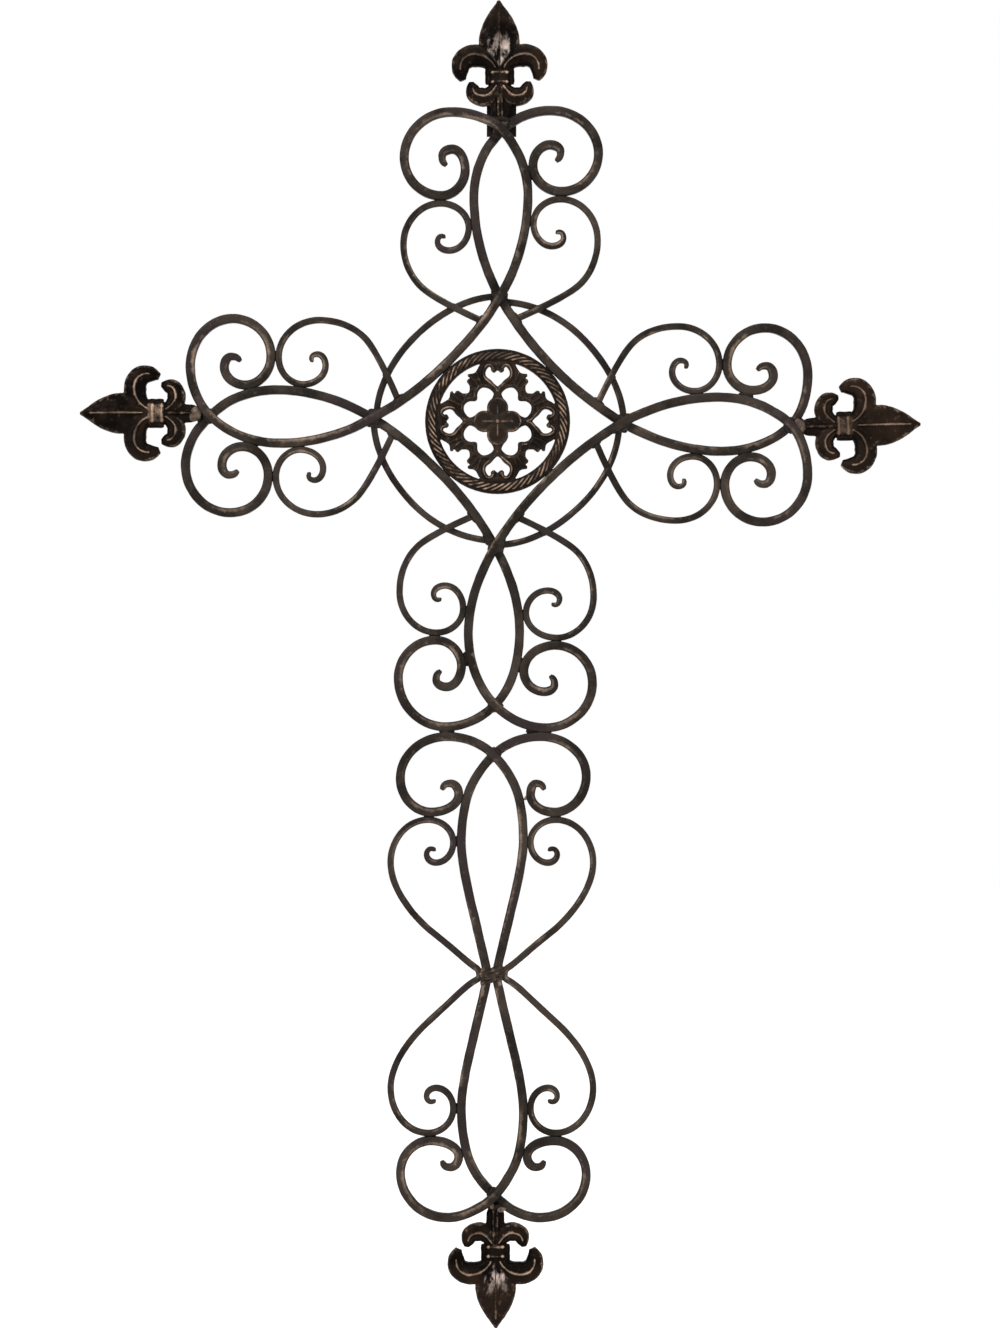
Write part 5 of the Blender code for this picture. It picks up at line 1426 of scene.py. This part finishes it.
class Nodes:
    """A material's node tree, built one linked node at a time."""

    def __init__(self, name):
        self.material = bpy.data.materials.new(name)
        self.material.use_nodes = True
        self.tree = self.material.node_tree
        self.shader = self.tree.nodes["Principled BSDF"]
        self.place = self.add("ShaderNodeTexCoord").outputs["Object"]

    def add(self, kind, **settings):
        node = self.tree.nodes.new(kind)
        for label, value in settings.items():
            setattr(node, label, value)
        return node

    def feed(self, socket, value):
        """A node output linked to a socket, or a plain value set on it."""
        if hasattr(value, "is_output"):
            self.tree.links.new(value, socket)
        else:
            socket.default_value = value

    def attribute(self, name):
        return self.add("ShaderNodeAttribute", attribute_name=name).outputs["Fac"]

    def noise(self, scale, detail, roughness=0.6, stretch=None):
        """Soft noise with so many waves to a metre, stretched along an axis where a stretch is given."""
        node = self.add("ShaderNodeTexNoise")
        place = self.place
        if stretch is not None:
            mapping = self.add("ShaderNodeMapping")
            self.feed(mapping.inputs["Vector"], place)
            mapping.inputs["Scale"].default_value = stretch
            place = mapping.outputs["Vector"]
        self.feed(node.inputs["Vector"], place)
        node.inputs["Scale"].default_value = scale
        node.inputs["Detail"].default_value = detail
        node.inputs["Roughness"].default_value = roughness
        return node.outputs["Fac"]

    def range(self, value, low, high, new_low=0.0, new_high=1.0):
        """A value spread from one span to another, and held at its ends."""
        node = self.add("ShaderNodeMapRange")
        self.feed(node.inputs["Value"], value)
        ends = {"From Min": low, "From Max": high, "To Min": new_low, "To Max": new_high}
        for label, number in ends.items():
            node.inputs[label].default_value = number
        return node.outputs["Result"]

    def math(self, operation, a, b=0.0):
        node = self.add("ShaderNodeMath", operation=operation)
        self.feed(node.inputs[0], a)
        self.feed(node.inputs[1], b)
        return node.outputs["Value"]

    def mix(self, share, a, b):
        """One colour laid over another by a share."""
        node = self.add("ShaderNodeMix", data_type="RGBA")
        self.feed(node.inputs["Factor"], share)
        for label, value in (("A", a), ("B", b)):
            socket = [s for s in node.inputs if s.name == label and s.type == "RGBA"][0]
            self.feed(socket, (*value, 1.0) if isinstance(value, tuple) else value)
        return [s for s in node.outputs if s.type == "RGBA"][0]

    def bump(self, height, strength, distance, normal=None):
        """A raised surface, on top of another where a normal is given."""
        node = self.add("ShaderNodeBump")
        node.inputs["Strength"].default_value = strength
        node.inputs["Distance"].default_value = distance
        self.feed(node.inputs["Height"], height)
        if normal is not None:
            self.feed(node.inputs["Normal"], normal)
        return node.outputs["Normal"]


def bronze(name, glints=False):
    """Dark oil-rubbed bronze over iron: patchy browns, tan where it is rubbed and for painted highlights,
    near black for painted shade and grime, and painted glints where asked.
    """
    dark, brown, odd, tan, wear_low, wear_high, roughness, gloss = FINISHES[name]
    nodes = Nodes(name)
    patches = nodes.range(nodes.noise(42.0, 4.0, 0.6), 0.4, 0.62)
    colour = nodes.mix(patches, dark, brown)
    colour = nodes.mix(nodes.range(nodes.noise(19.0, 2.0, 0.5), 0.52, 0.64, 0.0, 0.8), colour, odd)
    speck = nodes.noise(1500.0, 3.0, 0.7)
    grain = nodes.noise(280.0, 5.0, 0.65)
    colour = nodes.mix(nodes.range(grain, 0.6, 0.85, 0.0, 0.2), colour, tan)
    # Tan where the metal is rubbed, and the painted highlights and rim sheen in the same tan
    rub_and_highlight = nodes.math("ADD", nodes.attribute("wear_and_highlight"), nodes.range(grain, 0.3, 0.7, -0.32, 0.26))
    rub_and_highlight = nodes.math("ADD", rub_and_highlight, nodes.range(speck, 0.3, 0.7, -0.12, 0.12))
    kept = nodes.range(nodes.noise(33.0, 3.0, 0.55), 0.4, 0.6, 0.3, 1.0)
    rub_and_highlight = nodes.math("MULTIPLY", nodes.range(rub_and_highlight, wear_low, wear_high), kept)
    colour = nodes.mix(rub_and_highlight, colour, tan)
    # Near black where shade is painted and where grime lies
    colour = nodes.mix(nodes.math("MULTIPLY", nodes.attribute("shade_and_grime"), 0.85), colour, SHADE_AND_GRIME)
    rough = nodes.range(grain, 0.3, 0.7, roughness - 0.1, roughness + 0.14)
    rough = nodes.math("ADD", rough, nodes.math("MULTIPLY", rub_and_highlight, -0.08))
    if glints:
        hammer = nodes.noise(300.0, 4.0, 0.65, (1.0, 1.0, 0.4))
        shine = nodes.math("MULTIPLY", nodes.attribute("glint"), nodes.range(hammer, 0.45, 0.62))
        islands = nodes.range(nodes.noise(130.0, 3.0, 0.6), 0.35, 0.52)
        shine = nodes.math("MULTIPLY", shine, islands)
        colour = nodes.mix(shine, colour, GLINT)
        rough = nodes.math("SUBTRACT", rough, nodes.math("MULTIPLY", shine, 0.15))
    nodes.feed(nodes.shader.inputs["Base Color"], colour)
    nodes.feed(nodes.shader.inputs["Roughness"], rough)
    nodes.shader.inputs["Metallic"].default_value = 0.15
    nodes.shader.inputs["Specular IOR Level"].default_value = gloss
    nodes.shader.inputs["Specular Tint"].default_value = (0.75, 0.62, 0.55, 1.0)
    lumps = nodes.bump(nodes.noise(190.0, 3.0, 0.6), 0.45, 0.0014)
    nodes.feed(nodes.shader.inputs["Normal"], nodes.bump(speck, 0.25, 0.0003, lumps))
    return nodes.material


def pale(name, colour):
    """The pale paper of the studio, which glows a little so that it stays even."""
    nodes = Nodes(name)
    dimmer = tuple(c * 0.985 for c in colour)
    nodes.feed(nodes.shader.inputs["Base Color"], nodes.mix(nodes.noise(9.0, 2.0), colour, dimmer))
    nodes.shader.inputs["Roughness"].default_value = 0.9
    nodes.shader.inputs["Emission Color"].default_value = (1.0, 1.0, 1.0, 1.0)
    nodes.shader.inputs["Emission Strength"].default_value = PAPER_GLOW
    return nodes.material


def add_stage():
    """A plain round pale floor under the cross."""
    floor_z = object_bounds()[0][2] - FLOOR_DROP
    mesh = bpy.data.meshes.new("studio_floor")
    rim = at_depth(circle(FLOOR_SIDES, FLOOR_RADIUS), floor_z)
    mesh.from_pydata(rim, [], [tuple(range(FLOOR_SIDES))])
    mesh.materials.append(pale("studio_paper", PAPER))
    linked("studio_floor", mesh)


def add_light(name, place, size, power):
    """A square light that faces the middle of the view."""
    lamp = bpy.data.lights.new(name, "AREA")
    lamp.shape = "SQUARE"
    lamp.size = size
    lamp.energy = power
    item = linked(name, lamp)
    item.location = place
    item.rotation_euler = (Vector(VIEW_CENTRE) - Vector(place)).to_track_quat("-Z", "Y").to_euler()


def add_camera_and_lights():
    """The camera at the photo's angle, the three lights and an even pale surround."""
    camera = bpy.data.cameras.new("camera")
    camera.sensor_fit = "HORIZONTAL"
    camera.sensor_width = SENSOR_WIDTH
    camera.lens = SENSOR_WIDTH * CAMERA_DISTANCE / VIEW_WIDTH
    item = linked("camera", camera)
    item.location = (VIEW_CENTRE[0], VIEW_CENTRE[1] - CAMERA_DISTANCE, VIEW_CENTRE[2])
    item.rotation_euler = (math.pi / 2, 0.0, 0.0)
    bpy.context.scene.camera = item
    for name, (place, size, power) in LIGHTS.items():
        add_light(name, place, size, power)
    bpy.context.scene.view_settings.view_transform = "Standard"
    world = bpy.data.worlds.new("studio")
    world.use_nodes = True
    shade = world.node_tree.nodes["Background"]
    shade.inputs["Color"].default_value = (1.0, 1.0, 1.0, 1.0)
    shade.inputs["Strength"].default_value = WORLD_STRENGTH
    bpy.context.scene.world = world


def dress():
    """The whole scene, in the frame of the cross."""
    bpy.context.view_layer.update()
    origin = plate_places()[2]
    wall = -(plate_depth() - PLATE_THICKNESS / 2)
    centre = (-origin.x, -wall, -origin.y)
    iron = bronze("forged_iron")
    casting = bronze("cast_bronze", glints=True)
    pierced = bronze("cast_openwork")
    wrap = bronze("rubbed_wrap")
    steel = bronze("plate_steel")
    table = bar_table()
    add_bars(table, centre, iron)
    add_welds(table, centre, iron)
    add_finials(centre, casting)
    add_rosette(centre, pierced)
    add_binding(centre, wrap)
    for slot in bpy.data.objects["hanger_plate"].material_slots:
        slot.material = steel
    add_stage()
    add_camera_and_lights()


dress()
